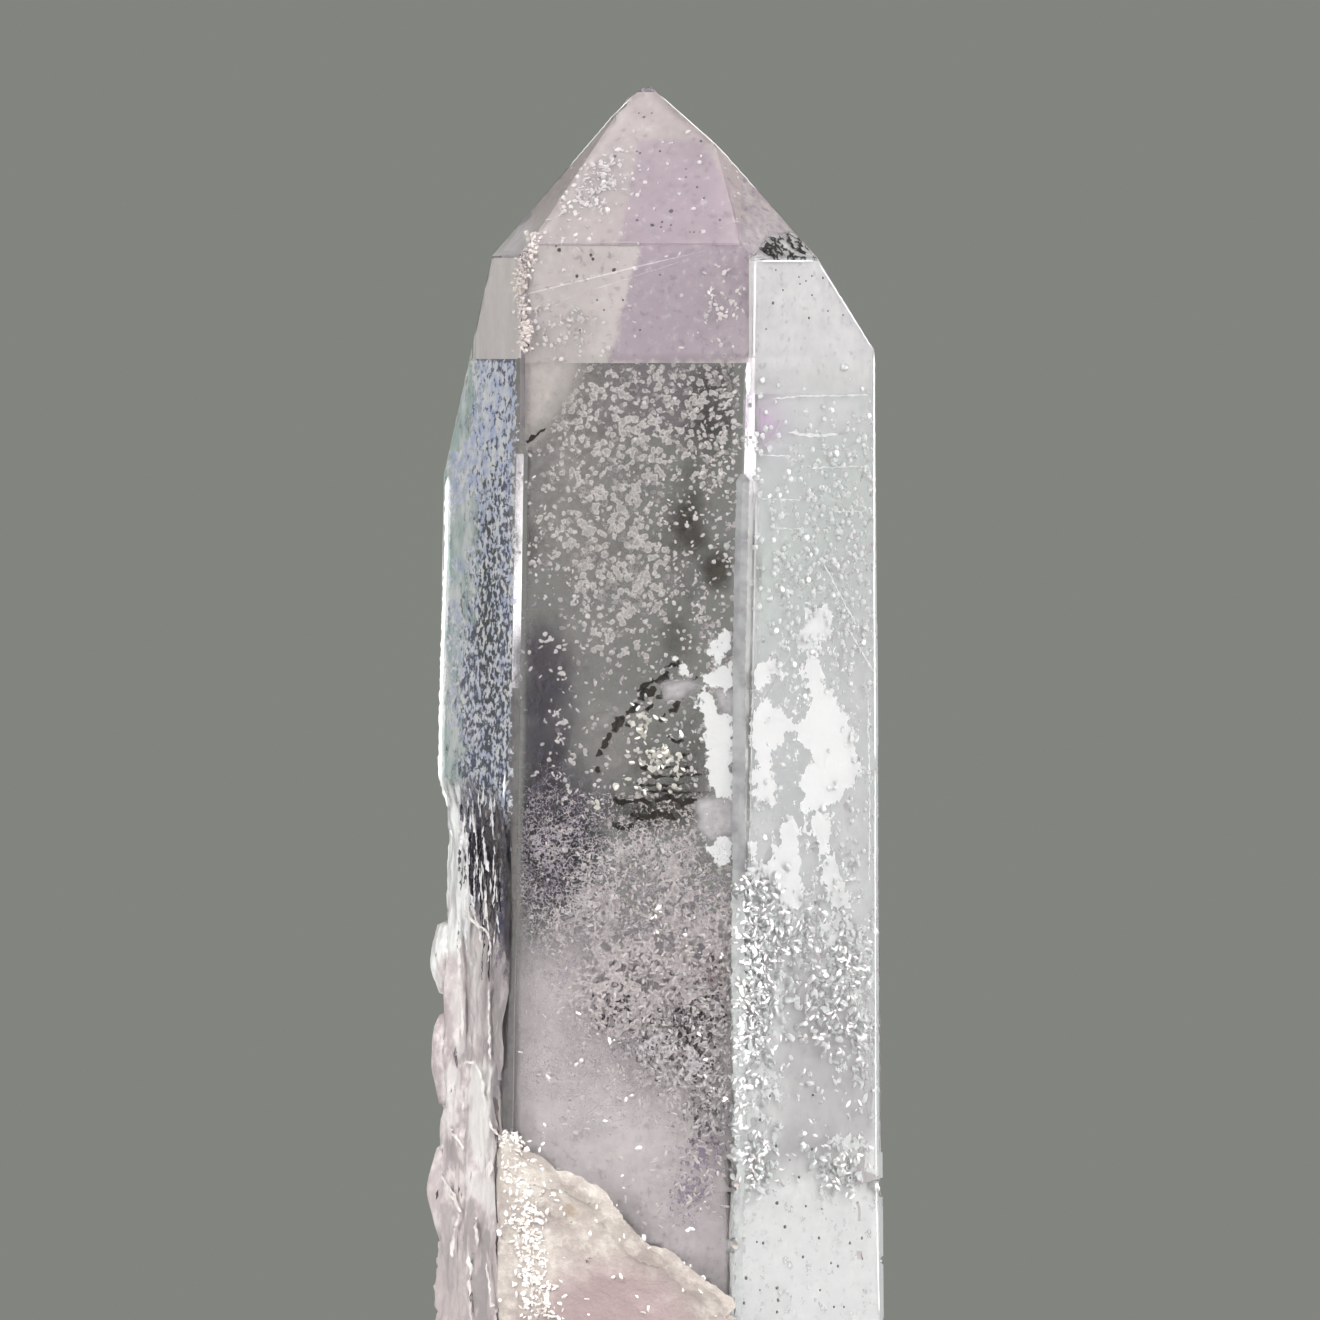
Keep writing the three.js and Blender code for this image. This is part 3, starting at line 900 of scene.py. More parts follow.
sheet("veins_front", (518, 780, 736, 1130), 0.0003, 0.0001, ovals(VEIN_CLOUDS, 0.0), veins, 12.0,
      lean=FRONT_LEAN)
sheet("threads_deep", (519, 760, 738, 1100), 0.0012, 0.0004,
      ovals(THREADS + [(536, 860, 24, 70, 0.55)], 0.1), fine_threads, 6.0, lean=FRONT_LEAN)
GRAINY = [
    (618, 1005, 34, 34, 0.50), (700, 1000, 30, 36, 0.50), (660, 1050, 40, 40, 0.46),
    (708, 1075, 24, 60, 0.36), (700, 1125, 30, 30, 0.30),
]
grainy = torn_film("film_grainy", (0.34, 0.30, 0.315, 1), (0.03, 0.025, 0.03, 1), 3700, 2.6, 0.10, 0.9,
                   (1.2, 1.2, 0.8))
rusty = torn_film("film_rusty", (0.24, 0.12, 0.11, 1), (0.09, 0.04, 0.04, 1), 3600, 2.2, 0.12, 0.8)
sheet("grains_rusty", (685, 940, 734, 1020), 0.0006, 0.0001, ovals([(711, 982, 16, 30, 0.46)]), rusty, 15.0)
violet_grains = torn_film("film_violet_grains", (0.62, 0.52, 0.66, 1), (0.30, 0.24, 0.36, 1), 4300, 2.2,
                          0.12, 0.8)
sheet("grains_violet", (620, 1090, 737, 1250), 0.0009, 0.0002,
      ovals([(705, 1150, 30, 40, 0.44), (685, 1200, 24, 30, 0.40)]), violet_grains, 14.0)
sheet("grains_front", (580, 950, 737, 1235), 0.0010, 0.0002, ovals(GRAINY), grainy, 4.0,
      tone=ovals([(720, 1120, 40, 70, 0.25)], 0.35), fade=6)


# %% [markdown]
# The left face is seen nearly along its surface. Against the dark behind it, it shows fine pale
# specks that run upright, which are painted glints of its striae, and a painted pale highlight on
# its outer edge.

# %% Specks of painted glint behind the left face
LEFT_CLOUDS = [
    (490, 395, 40, 60, 0.20), (486, 640, 20, 120, -0.06), (480, 740, 30, 40, 0.05), (478, 870, 30, 50, -0.12),
    (468, 440, 16, 110, 0.30), (490, 430, 20, 80, 0.12),
]
# Painted shade: a dark sheet deepens the dark that is seen through the left face.
left_dark = torn_film("film_left_dark", (0.03, 0.03, 0.05, 1), (0.01, 0.01, 0.02, 1), 1500, 1.0, 0.4, 0.85,
                      (0.50, 0.50, 0.30))
sheet("painted_dark_left", (452, 400, 512, 930), 0.0007, 0.0001,
      ovals([(490, 640, 15, 140, 0.8), (482, 560, 10, 100, 0.3), (495, 470, 10, 60, 0.4),
             (488, 850, 18, 60, 1.0)]),
      left_dark, 9.5)
# Painted glints: the pale specks stand for the light that the upright striae catch.
left_striae_glints = torn_film("film_left", (1.0, 1.0, 1.0, 1), (0.50, 0.57, 0.86, 1), 6600, 3.8, 0.10, 1.0,
                        (0.26, 0.26, 0.50), 0.5)
sheet("glint_specks_left", (446, 359, 521, 905), 0.00008, 0.00003, ovals(LEFT_CLOUDS, 0.50), left_striae_glints, 9.0,
      lean=(-0.004, -0.018), fade=3)
# Painted highlight: the pale outer edge stands for the light that the edge bevel reflects.
LEFT_RIM_HIGHLIGHT = [(430, 358), (474, 358), (474, 540), (470, 590), (462, 640), (458, 790), (425, 800), (430, 470)]
rim_highlight_film = torn_film("film_rim_highlight", (1.0, 1.0, 1.0, 1), (0.50, 0.64, 0.62, 1), 3600, 3.4, 0.26, 0.95,
                 (0.30, 0.30, 0.36), 0.45)
sheet("rim_highlight_left", (432, 359, 492, 800), 0.00008, 0.00002, patches_of([LEFT_RIM_HIGHLIGHT], 14), rim_highlight_film, 10.0, cell=4,
      fade=3)


# %% [markdown]
# The right side is the brightest: a pale milk above and below, round dots and clumps between, and in
# the middle a wide fracture whose torn plates throw all the light back.

# %% Milk and clumps behind the right side
RIGHT_MILK = [
    (790, 390, 90, 60, 0.40), (850, 400, 40, 60, 0.15), (852, 720, 30, 160, 0.28), (850, 880, 24, 70, 0.30),
    (800, 870, 50, 40, 0.20), (760, 560, 20, 60, 0.12), (760, 930, 30, 60, 0.25), (745, 1010, 20, 80, 0.3),
    (815, 1060, 50, 100, 0.36),
    (850, 1010, 20, 60, 0.15), (800, 1120, 60, 40, 0.2), (758, 1010, 26, 170, 0.85), (850, 1160, 20, 40, 0.4),
]
right_oval = ovals(RIGHT_MILK, 0.10)
# The edge between the front and the right side runs to the left down to this row, then right.
BEND_ROW = 998
NARROW_FACE_WIDTH = 18


def right_milk(column, row):
    """Milk behind the right side, solid at the bottom."""
    foot = 1.25 * step(row + 0.25 * (column - 810), 1110, 1200)
    edge = 746 - 0.0235 * (row - 360) if row < BEND_ROW else 731 + 0.0184 * (row - BEND_ROW)
    narrow_face = 0.9 * step(row, 455, 500) * step(edge + NARROW_FACE_WIDTH - column, 0, 6)
    return max(right_oval(column, row), foot, narrow_face) * step(column - edge, -1, 1)


right_film = milky_film("film_right", (1.0, 0.99, 0.98, 1), (0.84, 0.85, 0.845, 1), 1500, 1.6, 0.98, 0.22)
sheet("milk_right", (744, 366, 875, ROOT_ROW), 0.0009, 0.0002, right_milk, right_film, 3.0,
      lean=(-0.0235, 0.005), cell=4, fade=0, tone=ovals([(800, 1290, 100, 110, -0.45)], 0.5))
# Painted sheen: a thin green haze and a lilac patch stand for the rainbow sheen of the right face.
painted_green_sheen = milky_film("film_green", (0.84, 0.95, 0.85, 1), (0.66, 0.77, 0.68, 1), 1300, 2.0, 0.5)
sheet("green_right", (757, 430, 875, 720), 0.0007, 0.0001,
      ovals([(800, 560, 60, 70, 0.6), (850, 480, 40, 50, 0.4), (762, 600, 14, 60, 0.5)]), painted_green_sheen, 3.4,
      cell=6)
painted_lilac_sheen = milky_film("film_lilac", (0.85, 0.62, 0.85, 1), (0.75, 0.55, 0.78, 1), 2000, 1.0, 0.75)
sheet("lilac_right", (757, 370, 800, 480), 0.0009, 0.0001,
      ovals([(764, 414, 14, 30, 1.0), (772, 400, 18, 34, 0.3)]), painted_lilac_sheen, 3.2, fade=4)

RIGHT_LEAN = (-0.0185, 0.004)
CLUMPS = [
    (758, 960, 24, 100, 0.48), (745, 1020, 14, 90, 0.4), (770, 885, 34, 22, 0.28), (800, 930, 40, 16, 0.2),
    (802, 1015, 18, 50, -0.20), (777, 1010, 4, 80, 0.5), (860, 960, 12, 40, 0.3), (762, 1050, 14, 50, 0.3),
    (838, 985, 14, 34, 0.36), (862, 1032, 12, 22, 0.4), (740, 1070, 14, 34, 0.52), (742, 1108, 10, 34, 0.44),
    (757, 1165, 13, 24, 0.55), (838, 1168, 14, 18, 0.6), (850, 1140, 12, 9, 0.5), (777, 1030, 5, 60, 0.4),
    (846, 1070, 8, 10, 0.3), (835, 935, 8, 10, 0.5), (850, 915, 20, 30, 0.16), (808, 590, 30, 14, 0.2),
]
clump_film = torn_film("film_clumps", (1.0, 1.0, 1.0, 1), (0.90, 0.93, 0.91, 1), 1900, 2.0, 0.10, 0.95)
sheet("clumps_right", (746, 560, 878, 1318), 0.0008, 0.0003, ovals(CLUMPS, 0.22), clump_film, 5.0,
      lean=RIGHT_LEAN, cell=4)

# %% [markdown]
# The fracture's plates are drawn as outlines round a middle line, and the film's own noise tears
# their rims. Crumbs are sprinkled round them, so that they don't end all at once.

# %% The torn plates of the fracture
PLATES = [
    [(806, 612), (823, 605), (831, 614), (833, 631), (821, 641), (819, 668), (829, 688), (833, 696),
     (845, 712), (853, 733), (860, 770), (859, 780), (847, 792), (837, 802), (825, 806), (810, 813),
     (801, 808), (804, 794), (797, 782), (810, 763), (812, 753), (798, 741), (796, 733), (801, 721),
     (812, 704), (814, 686), (804, 676), (812, 659), (804, 649), (794, 639), (804, 627)],
    [(755, 666), (768, 660), (780, 659), (778, 672), (766, 680), (761, 688), (751, 686)],
    [(768, 696), (778, 708), (792, 721), (800, 721), (788, 733), (780, 745), (772, 753), (770, 768),
     (776, 786), (778, 806), (761, 800), (753, 794), (757, 784), (749, 782), (747, 770), (759, 766),
     (757, 751), (748, 747), (750, 731), (742, 737), (749, 725), (753, 712), (761, 702)],
    [(778, 812), (786, 821), (792, 814), (796, 825), (800, 855), (802, 880), (800, 908), (778, 908),
     (780, 892), (768, 876), (751, 886), (757, 872), (772, 859), (782, 843), (780, 827)],
    [(749, 837), (757, 845), (753, 859), (746, 855), (747, 843)],
    [(810, 817), (823, 810), (831, 814), (827, 835), (829, 851), (841, 868), (845, 890), (851, 894),
     (851, 910), (833, 910), (829, 896), (821, 880), (823, 861), (817, 841), (812, 827)],
    [(820, 925), (832, 920), (840, 935), (832, 945), (822, 942)],
]
FRONT_SHARDS = [
    [(700, 692), (706, 688), (714, 704), (721, 714), (732, 721), (732, 800), (727, 803), (717, 796),
     (709, 784), (706, 766), (707, 745), (702, 712)],
    [(710, 643), (721, 631), (727, 640), (719, 652), (710, 660), (704, 657)],
    [(703, 841), (712, 843), (721, 837), (730, 831), (730, 861), (725, 870), (717, 861), (708, 855)],
    [(674, 655), (680, 660), (688, 672), (683, 674)],
    [(706, 676), (716, 668), (732, 664), (734, 684), (720, 690), (710, 688)],
    [(712, 650), (728, 634), (731, 646), (718, 664)],
]
PALE_PATCHES = [
    [(696, 800), (733, 794), (734, 834), (712, 840), (699, 828)],
    [(715, 688), (734, 690), (734, 719), (722, 712)],
    [(662, 684), (690, 680), (700, 686), (684, 698), (664, 700)],
]
BITS = [(800, 700, 60, 100, 0.36), (800, 860, 50, 60, 0.34), (840, 640, 20, 40, 0.2)]
FRONT_BITS = [(712, 740, 24, 90, 0.30)]


def plates_of(outlines, bits):
    """Torn plates, and thin crumbs of them round about."""
    plate = patches_of(outlines, 7)
    crumbs = ovals(bits)

    def value(column, row):
        return min(max(1.04 * plate(column, row), crumbs(column, row)), 1)
    return value


plate_film = torn_film("film_plates", (1.0, 1.0, 1.0, 1), (0.97, 0.98, 0.98, 1), 2100, 2.2, 0.07, 1.0)
sheet("plates_right", (750, 590, 877, 950), 0.0005, 0.0002, plates_of(PLATES, BITS), plate_film, 7.0,
      lean=RIGHT_LEAN, cell=3, tone=ovals([], 0.9))
patch_film = milky_film("film_patches", (0.82, 0.79, 0.82, 1), (0.58, 0.545, 0.565, 1), 1800, 2.4, 0.85, 0.3)
sheet("patches_front", (656, 676, 738, 846), 0.0006, 0.0001, patches_of(PALE_PATCHES, 5), patch_film, 8.5,
      cell=3, fade=0)
sheet("plates_front", (666, 618, 738, 880), 0.0005, 0.0001, plates_of(FRONT_SHARDS, FRONT_BITS), plate_film,
      8.0, cell=3, tone=ovals([], 0.9), fade=0, lean=(0, -0.012))


# %% [markdown]
# Single cracks, worn edges and growth lines are narrow strips. Each is a thin grid laid along a
# trail of pixels, and its sides can be ragged.

# %% Trails
def trail_length(corners):
    """How long a trail is in pixels."""
    return sum(math.dist(a, b) for a, b in zip(corners, corners[1:]))


def along_trail(corners, way):
    """The pixel at a way along a trail, and the trail's direction there."""
    for a, b in zip(corners, corners[1:]):
        length = math.dist(a, b)
        if way <= length or b is corners[-1]:
            share = min(max(way / length, 0), 1)
            break
        way -= length
    run, drop = (b[0] - a[0]) / length, (b[1] - a[1]) / length
    return a[0] + share * length * run, a[1] + share * length * drop, run, drop


def long_grid(length, rows):
    """A flat grid with more cells the longer it is."""
    deselect()
    bpy.ops.mesh.primitive_grid_add(
        x_subdivisions=max(3, round(length / 3)), y_subdivisions=rows, size=1, location=(0, 0, 0))
    return bpy.context.object


def join(name, made, material):
    """Joins grids into one piece and gives it its finish."""
    deselect()
    for one in made:
        one.select_set(True)
    bpy.context.view_layer.objects.active = made[0]
    if len(made) > 1:
        bpy.ops.object.join()
    joined = bpy.context.view_layer.objects.active
    joined.name = name
    joined.data.name = name
    joined.data.materials.append(material)
    print(name, "parts:", len(made), "faces:", len(joined.data.polygons))
    return joined


# %% Cracks and growth lines
def strips(name, trails, depth, material, jag=0.0, taper=0.15, rows=2):
    """Narrow strips along trails. Each trail is its width in pixels and the pixels it runs through."""
    made = []
    for number, (width, corners) in enumerate(trails):
        whole = trail_length(corners)
        strip = long_grid(whole, rows)
        for vertex in strip.data.vertices:
            way = min(max((vertex.co.x + 0.5) * whole, 0), whole)
            column, row, run, drop = along_trail(corners, way)
            ends = min(1, taper + min(way, whole - way) / 10)
            wobble = jag * noise.noise(Vector((way / 4, number * 7.3, vertex.co.y * 1.5)))
            off = vertex.co.y * width * ends + wobble
            vertex.co = behind_or_near(column - off * drop, row + off * run, depth)
        made.append(strip)
    return inside(join(name, made, material))


def line_material(name, first, second, share, scale=1800.0):
    """A dull line with some variation, and a share that covers."""
    line = Recipe(name)
    grain = line.noise(scale, 3.0, 0.6)
    dull = line.node("BsdfDiffuse", {"Color": line.blend(line.spread(grain, 0.35, 0.65), first, second)})
    return line.veil(line.spread(grain, 0.25, 0.5, share * 0.75, share), dull)


def short_marks(count, area, lengths, slant, dice):
    """Short upright trails at random places in an area of the picture."""
    left, top, right, bottom = area
    found = []
    for _ in range(count):
        column, row, length = dice.uniform(left, right), dice.uniform(top, bottom), dice.uniform(*lengths)
        end = (column + length * slant * dice.normal(), row + length)
        found.append((dice.uniform(0.8, 2.2), [(column, row), end]))
    return found


BLACK_CRACKS = [
    (8.0, [(668, 671), (663, 679), (655, 682)]), (9.0, [(656, 688), (650, 692), (642, 694), (640, 700)]),
    (8.0, [(637, 703), (634, 710), (626, 713)]), (9.0, [(624, 716), (617, 724), (614, 732)]),
    (7.0, [(611, 733), (606, 741), (604, 749)]), (5.0, [(601, 750), (597, 757)]),
    (6.0, [(654, 680), (644, 686), (638, 692)]), (6.0, [(664, 690), (657, 699)]),
    (6.0, [(651, 703), (647, 711)]), (7.0, [(692, 688), (686, 692), (682, 699)]),
    (7.0, [(679, 701), (675, 709), (669, 712)]), (6.0, [(666, 714), (660, 722)]),
    (4.0, [(676, 656), (681, 668), (688, 674)]), (4.0, [(664, 668), (672, 664), (679, 667)]),
    (4.0, [(697, 676), (690, 683)]), (1.6, [(640, 768), (668, 766), (690, 769)]),
    (1.6, [(650, 776), (672, 777), (702, 774)]), (1.6, [(636, 784), (660, 786), (684, 783)]),
    (1.6, [(646, 792), (676, 791), (700, 793)]), (5.0, [(626, 722), (630, 727)]),
    (4.0, [(596, 767), (600, 772)]), (4.0, [(612, 800), (630, 803), (641, 799), (652, 806)]),
    (5.0, [(655, 800), (668, 797), (684, 803), (697, 799)]),
    (6.0, [(630, 815), (645, 818), (660, 813), (676, 820)]),
    (5.0, [(612, 822), (622, 828), (634, 826)]),
    (2.5, [(527, 443), (533, 438), (545, 428)]),
    (2.5, [(668, 736), (676, 742), (684, 740)]), (2.5, [(672, 752), (682, 756), (690, 753)]),
    (2.5, [(700, 690), (705, 700), (708, 712)]),
]
black = line_material("black_crack", (0.02, 0.017, 0.015, 1), (0.05, 0.04, 0.035, 1), 0.95)
strips("cracks_black", BLACK_CRACKS, 0.0006, black, jag=4.0, taper=0.5)

PALE_LINES = [
    (2.0, [(545, 932), (570, 920), (610, 900)]), (1.6, [(550, 940), (585, 922), (616, 912)]),
    (1.6, [(552, 917), (580, 912), (612, 897)]),
    (1.5, [(600, 890), (612, 906), (618, 930)]), (2.0, [(655, 923), (659, 936)]),
    (1.5, [(585, 1115), (598, 1106), (625, 1105)]), (1.5, [(670, 1222), (700, 1205), (718, 1192)]),
]
GROWTH_LINES = [
    (1.8, [(772, 399), (800, 396), (868, 395)]), (3.5, [(788, 432), (812, 436), (838, 434)]),
    (1.4, [(760, 499), (800, 500)]), (1.6, [(846, 625), (858, 645), (874, 672)]),
    (1.2, [(760, 455), (790, 456)]),
    (1.2, [(812, 468), (866, 466)]), (1.2, [(770, 528), (806, 529)]), (1.2, [(830, 512), (870, 511)]),
    (1.4, [(822, 560), (838, 590), (856, 625)]), (1.2, [(868, 700), (870, 800), (869, 880)]),
]
WORN_AND_HIGHLIT_EDGES = [
    (2.0, [(874, 352), (874, 600), (875, 760)]), (1.2, [(875, 770), (875, 900), (876, 1180)]),
    (1.4, [(876, 1185), (879, 1314)]),
    (1.6, [(755, 262), (754, 358)]), (1.4, [(757, 261), (816, 261)]), (1.6, [(818, 262), (873, 350)]),
    (6.0, [(448, 476), (447, 560), (444, 640), (442, 700), (441, 772), (448, 805), (455, 840)]),
    (3.0, [(505, 772), (504, 800)]), (0.7, [(660, 95), (715, 144), (760, 190)]),
    (0.7, [(632, 97), (560, 168)]), (5.0, [(748, 362), (748, 396)]),
]
pale_line = line_material("pale_line", (0.86, 0.82, 0.80, 1), (0.72, 0.68, 0.68, 1), 0.6)
white_line = line_material("worn_edge", (1.0, 1.0, 0.99, 1), (0.92, 0.93, 0.93, 1), 0.95)
strips("lines_pale", PALE_LINES, 0.0004, pale_line, jag=1.0)
strips("lines_growth", GROWTH_LINES, 0.0003, white_line, jag=1.5)

# %% Slits and slivers on the flank
SLIVERS = [
    (3.0, [(470, 828), (474, 880)]), (5.0, [(471, 878), (475, 908)]), (2.5, [(478, 800), (482, 850)]),
    (3.0, [(489, 836), (493, 872)]), (3.0, [(464, 802), (469, 850)]), (2.0, [(500, 870), (498, 905)]),
    (2.5, [(484, 868), (488, 900)]), (2.0, [(496, 790), (499, 840)]),
]
sliver_look = line_material("sliver", (0.80, 0.79, 0.80, 1), (0.50, 0.48, 0.50, 1), 0.9)
slit_look = line_material("slit", (0.035, 0.03, 0.04, 1), (0.012, 0.01, 0.014, 1), 0.9)
etch_dice = np.random.default_rng(5)
ETCH_SLITS = short_marks(34, (465, 800, 486, 880), (14, 40), 0.06, etch_dice)
ETCH_SLITS += short_marks(16, (486, 850, 506, 960), (14, 50), 0.06, etch_dice)
strips("slits_left", ETCH_SLITS, -0.00038, slit_look, jag=2.0)
ETCH_MARKS = short_marks(60, (464, 785, 502, 925), (6, 26), 0.10, etch_dice)
slivers = strips("slivers_left", SLIVERS + ETCH_MARKS, -0.00042, sliver_look, jag=1.5)
slivers.visible_shadow = True

# %% Ridges on the flank
RIDGES = [
    (3.0, [(469, 910), (478, 922), (490, 930), (497, 940)]), (1.6, [(476, 905), (484, 930), (488, 950)]),
    (2.2, [(491, 890), (493, 925), (496, 945), (493, 962)]), (1.4, [(498, 905), (500, 930), (499, 945)]),
    (1.4, [(470, 915), (471, 950)]), (2.0, [(464, 930), (465, 985), (468, 1020), (466, 1040)]),
    (2.4, [(465, 1066), (472, 1062), (482, 1063), (487, 1080), (489, 1100)]),
    (3.0, [(467, 1098), (468, 1114)]), (3.0, [(492, 1118), (497, 1128), (507, 1140)]),
    (2.5, [(455, 1128), (461, 1142), (467, 1153)]),
    (3.4, [(444, 1172), (451, 1184), (458, 1196), (463, 1212)]),
    (5.0, [(466, 1156), (471, 1166), (475, 1182)]), (4.0, [(487, 1152), (485, 1164)]),
    (7.0, [(497, 1158), (494, 1178)]), (2.4, [(462, 1214), (458, 1240), (457, 1258)]),
    (2.6, [(479, 1218), (483, 1240), (482, 1246)]),
    (2.6, [(472, 1256), (475, 1276), (473, 1284), (477, 1320)]),
    (1.6, [(491, 1262), (495, 1290), (497, 1320)]), (2.0, [(494, 985), (495, 1060)]),
]
ridge_look = line_material("ridge", (0.88, 0.84, 0.82, 1), (0.62, 0.57, 0.565, 1), 0.9)
ridges = strips("ridges_left", RIDGES, -0.00040, ridge_look, jag=2.0)
ridges.visible_shadow = True

# %% [markdown]
# The bright lines along the crystal's edges are partly white wear and partly painted highlight.
# Each is a thin ragged white bar, a flat grid rolled up round the edge and half sunk in it, so that
# it catches the light from in front whichever way the faces beside it look.


# %% Worn edges and painted highlights
def bars(name, trails, material):
    """Round bars along trails on the surface. Each trail is a width and the pixels it runs through."""
    made = []
    for number, (width, corners) in enumerate(trails):
        whole = trail_length(corners)
        bar = long_grid(whole, 7)
        for vertex in bar.data.vertices:
            way = min(max((vertex.co.x + 0.5) * whole, 0), whole)
            column, row, run, drop = along_trail(corners, way)
            angle = (vertex.co.y + 0.5) * 2 * math.pi
            ends = min(1, min(way, whole - way) / 8)
            ragged = 1 + 0.5 * noise.noise(Vector((way / 5, number * 7.3, math.cos(angle))))
            radius = width / 2 * ends * ragged
            spot = behind_or_near(column, row, 0)
            off = metres(radius * math.cos(angle))
            rise = metres(radius * math.sin(angle))
            vertex.co = spot + Vector((-off * drop, rise, -off * run))
        open_all(bar)
        bpy.ops.mesh.remove_doubles(threshold=MERGE / 2)
        bpy.ops.mesh.normals_make_consistent(inside=False)
        bpy.ops.mesh.faces_shade_smooth()
        done()
        made.append(bar)
    return belongs(join(name, made, material))


def film_material(name, first, second, roughness=0.5):
    """A whitish film with some variation."""
    film = Recipe(name)
    cloud = film.noise(1500.0, 2.0)
    colour = film.blend(film.spread(cloud, 0.3, 0.7), first, second)
    shader = film.node("BsdfPrincipled", {"Base Color": colour, "Roughness": roughness})
    return film.surface(shader.outputs[0])


# The bars' white is partly wear and partly painted highlight.
wear_and_highlight_look = film_material("worn_edge_and_highlight_bar", (1.0, 1.0, 0.99, 1), (0.88, 0.90, 0.90, 1), 0.3)
bars("edges_worn_and_highlit", WORN_AND_HIGHLIT_EDGES, wear_and_highlight_look)

# %% Bands along the edges beside the front
# Painted reflection: the grey bands stand for what the narrow faces beside the front reflect.
GREY_BEVEL = [(9.0, [(520, 358), (520, 446)]), (1.4, [(471, 790), (490, 799), (509, 813)]),
              (11.0, [(515, 688), (513, 800), (509, 1000), (507, 1128)])]
grey_line = line_material("grey_bevel", (0.33, 0.31, 0.305, 1), (0.23, 0.215, 0.22, 1), 0.86)
strips("bevel_grey", GREY_BEVEL, 0.0001, grey_line, taper=1.0)
# Painted reflection: the pale band stands for what the narrow face beside the right side reflects.
pale_bevel = line_material("pale_bevel", (0.60, 0.61, 0.61, 1), (0.37, 0.36, 0.38, 1), 0.88, 700.0)
PALE_BEVEL = [(13.0, [(743, 474), (741, 560), (739, 660), (739, 760), (738.5, 900)])]
strips("bevel_pale", PALE_BEVEL, 0.00006, pale_bevel, jag=1.5, taper=0.4)
white_bevel = line_material("white_bevel", (0.86, 0.88, 0.87, 1), (0.62, 0.64, 0.635, 1), 0.88, 1500.0)
WHITE_BEVEL = [(13.0, [(738, 884), (738.5, 1000), (741, 1150)]),
               (8.0, [(741, 1144), (739, 1240), (737.5, 1400)])]
strips("bevel_white", WHITE_BEVEL, 0.00006, white_bevel, jag=2.5, taper=0.4)


# %% [markdown]
# Flakes, dots and rods are real little bodies, not patterns, because they catch the light one by
# one. Each kind is modelled once as a squashed, knocked lump, and then copied, each copy with its
# own place, turn and size.

# %% One flake
def lump(name, size, jitter, seed):
    """A small knocked lump, at most one unit from its middle: its points and its triangles."""
    deselect()
    bpy.ops.mesh.primitive_ico_sphere_add(subdivisions=1, radius=1, location=(0, 0, 0))
    made = named(name)
    open_all(made, "VERT")
    bpy.ops.transform.vertex_random(offset=jitter, uniform=0.3, seed=seed)
    bpy.ops.transform.resize(value=size)
    bpy.ops.mesh.quads_convert_to_tris()
    done()
    points = np.array([vertex.co[:] for vertex in made.data.vertices])
    faces = np.array([face.vertices[:] for face in made.data.polygons])
    bpy.data.objects.remove(made)
    return points, faces


FLAKES = [lump(f"flake_{n}", (1, 0.8, 0.4), 0.35, n) for n in range(4)]
DOTS = [lump(f"dot_{n}", (1, 0.9, 0.8), 0.2, 30 + n) for n in range(3)]
RODS = [lump(f"rod_{n}", (1, 0.42, 0.32), 0.25, 40 + n) for n in range(3)]
BLOCKS = [lump(f"block_{n}", (1, 0.52, 0.40), 0.32, 50 + n) for n in range(3)]
GRAINS = [lump(f"grain_{n}", (1, 0.8, 0.8), 0.5, 20 + n) for n in range(3)]


def turns(count, dice):
    """Random turns, as one matrix each."""
    quarter = dice.normal(size=(count, 4))
    w, x, y, z = (quarter / np.linalg.norm(quarter, axis=1)[:, None]).T
    return np.array([
        [1 - 2 * (y * y + z * z), 2 * (x * y - z * w), 2 * (x * z + y * w)],
        [2 * (x * y + z * w), 1 - 2 * (x * x + z * z), 2 * (y * z - x * w)],
        [2 * (x * z - y * w), 2 * (y * z + x * w), 1 - 2 * (x * x + y * y)],
    ]).transpose(2, 0, 1)


def copies(name, shapes, places, sizes, material, dice):
    """One mesh with a copy of a shape at each place."""
    places = np.array([tuple(place) for place in places])
    matrices = turns(len(places), dice)
    points = []
    faces = []
    start = 0
    for number, place in enumerate(places):
        shape_points, shape_faces = shapes[number % len(shapes)]
        points.append(shape_points * sizes[number] @ matrices[number].T + place)
        faces.append(shape_faces + start)
        start += len(shape_points)
    mesh = bpy.data.meshes.new(name)
    mesh.from_pydata(np.concatenate(points).tolist(), [], np.concatenate(faces).tolist())
    made = placed(name, mesh)
    mesh.materials.append(material)
    print(name, "copies:", len(places), "faces:", len(mesh.polygons))
    return inside(made)


# %% Sowing
dice = np.random.default_rng(11)
TRIES_FOR_EACH = 30


def scatter(name, shapes, places, sizes, material, shadow=False):
    """Copies at some places, each of a random size between two in pixels."""
    halves = metres(dice.uniform(*sizes, len(places)) / 2)
    copies(name, shapes, places, halves, material, dice).visible_shadow = shadow


def sow(name, shapes, count, area, thickness, density, sizes, material, bearing=0.0, shadow=False):
    """Copies behind an area of the picture, at two depths or between, thinned by a density."""
    left, top, right, bottom = area
    found = []
    tries = 0
    while len(found) < count and tries < count * TRIES_FOR_EACH:
        tries += 1
        column = dice.uniform(left, right)
        row = dice.uniform(top, bottom)
        if dice.random() > density(column, row):
            continue
        place = behind(column, row, dice.uniform(*thickness), bearing)
        if place is not None:
            found.append(place)
    scatter(name, shapes, found, sizes, material, shadow)


# %% Flakes, dots and rods
flake_look = film_material("healed_film", (0.98, 0.93, 0.92, 1), (0.86, 0.80, 0.81, 1))
sparkle_look = film_material("sparkling_film", (1.0, 1.0, 1.0, 1), (0.93, 0.96, 0.95, 1), 0.3)
gold_look = film_material("gold_film", (1.0, 0.98, 0.92, 1), (0.95, 0.90, 0.80, 1), 0.3)
speck_look = film_material("dark_speck", (0.03, 0.025, 0.03, 1), (0.10, 0.08, 0.09, 1))

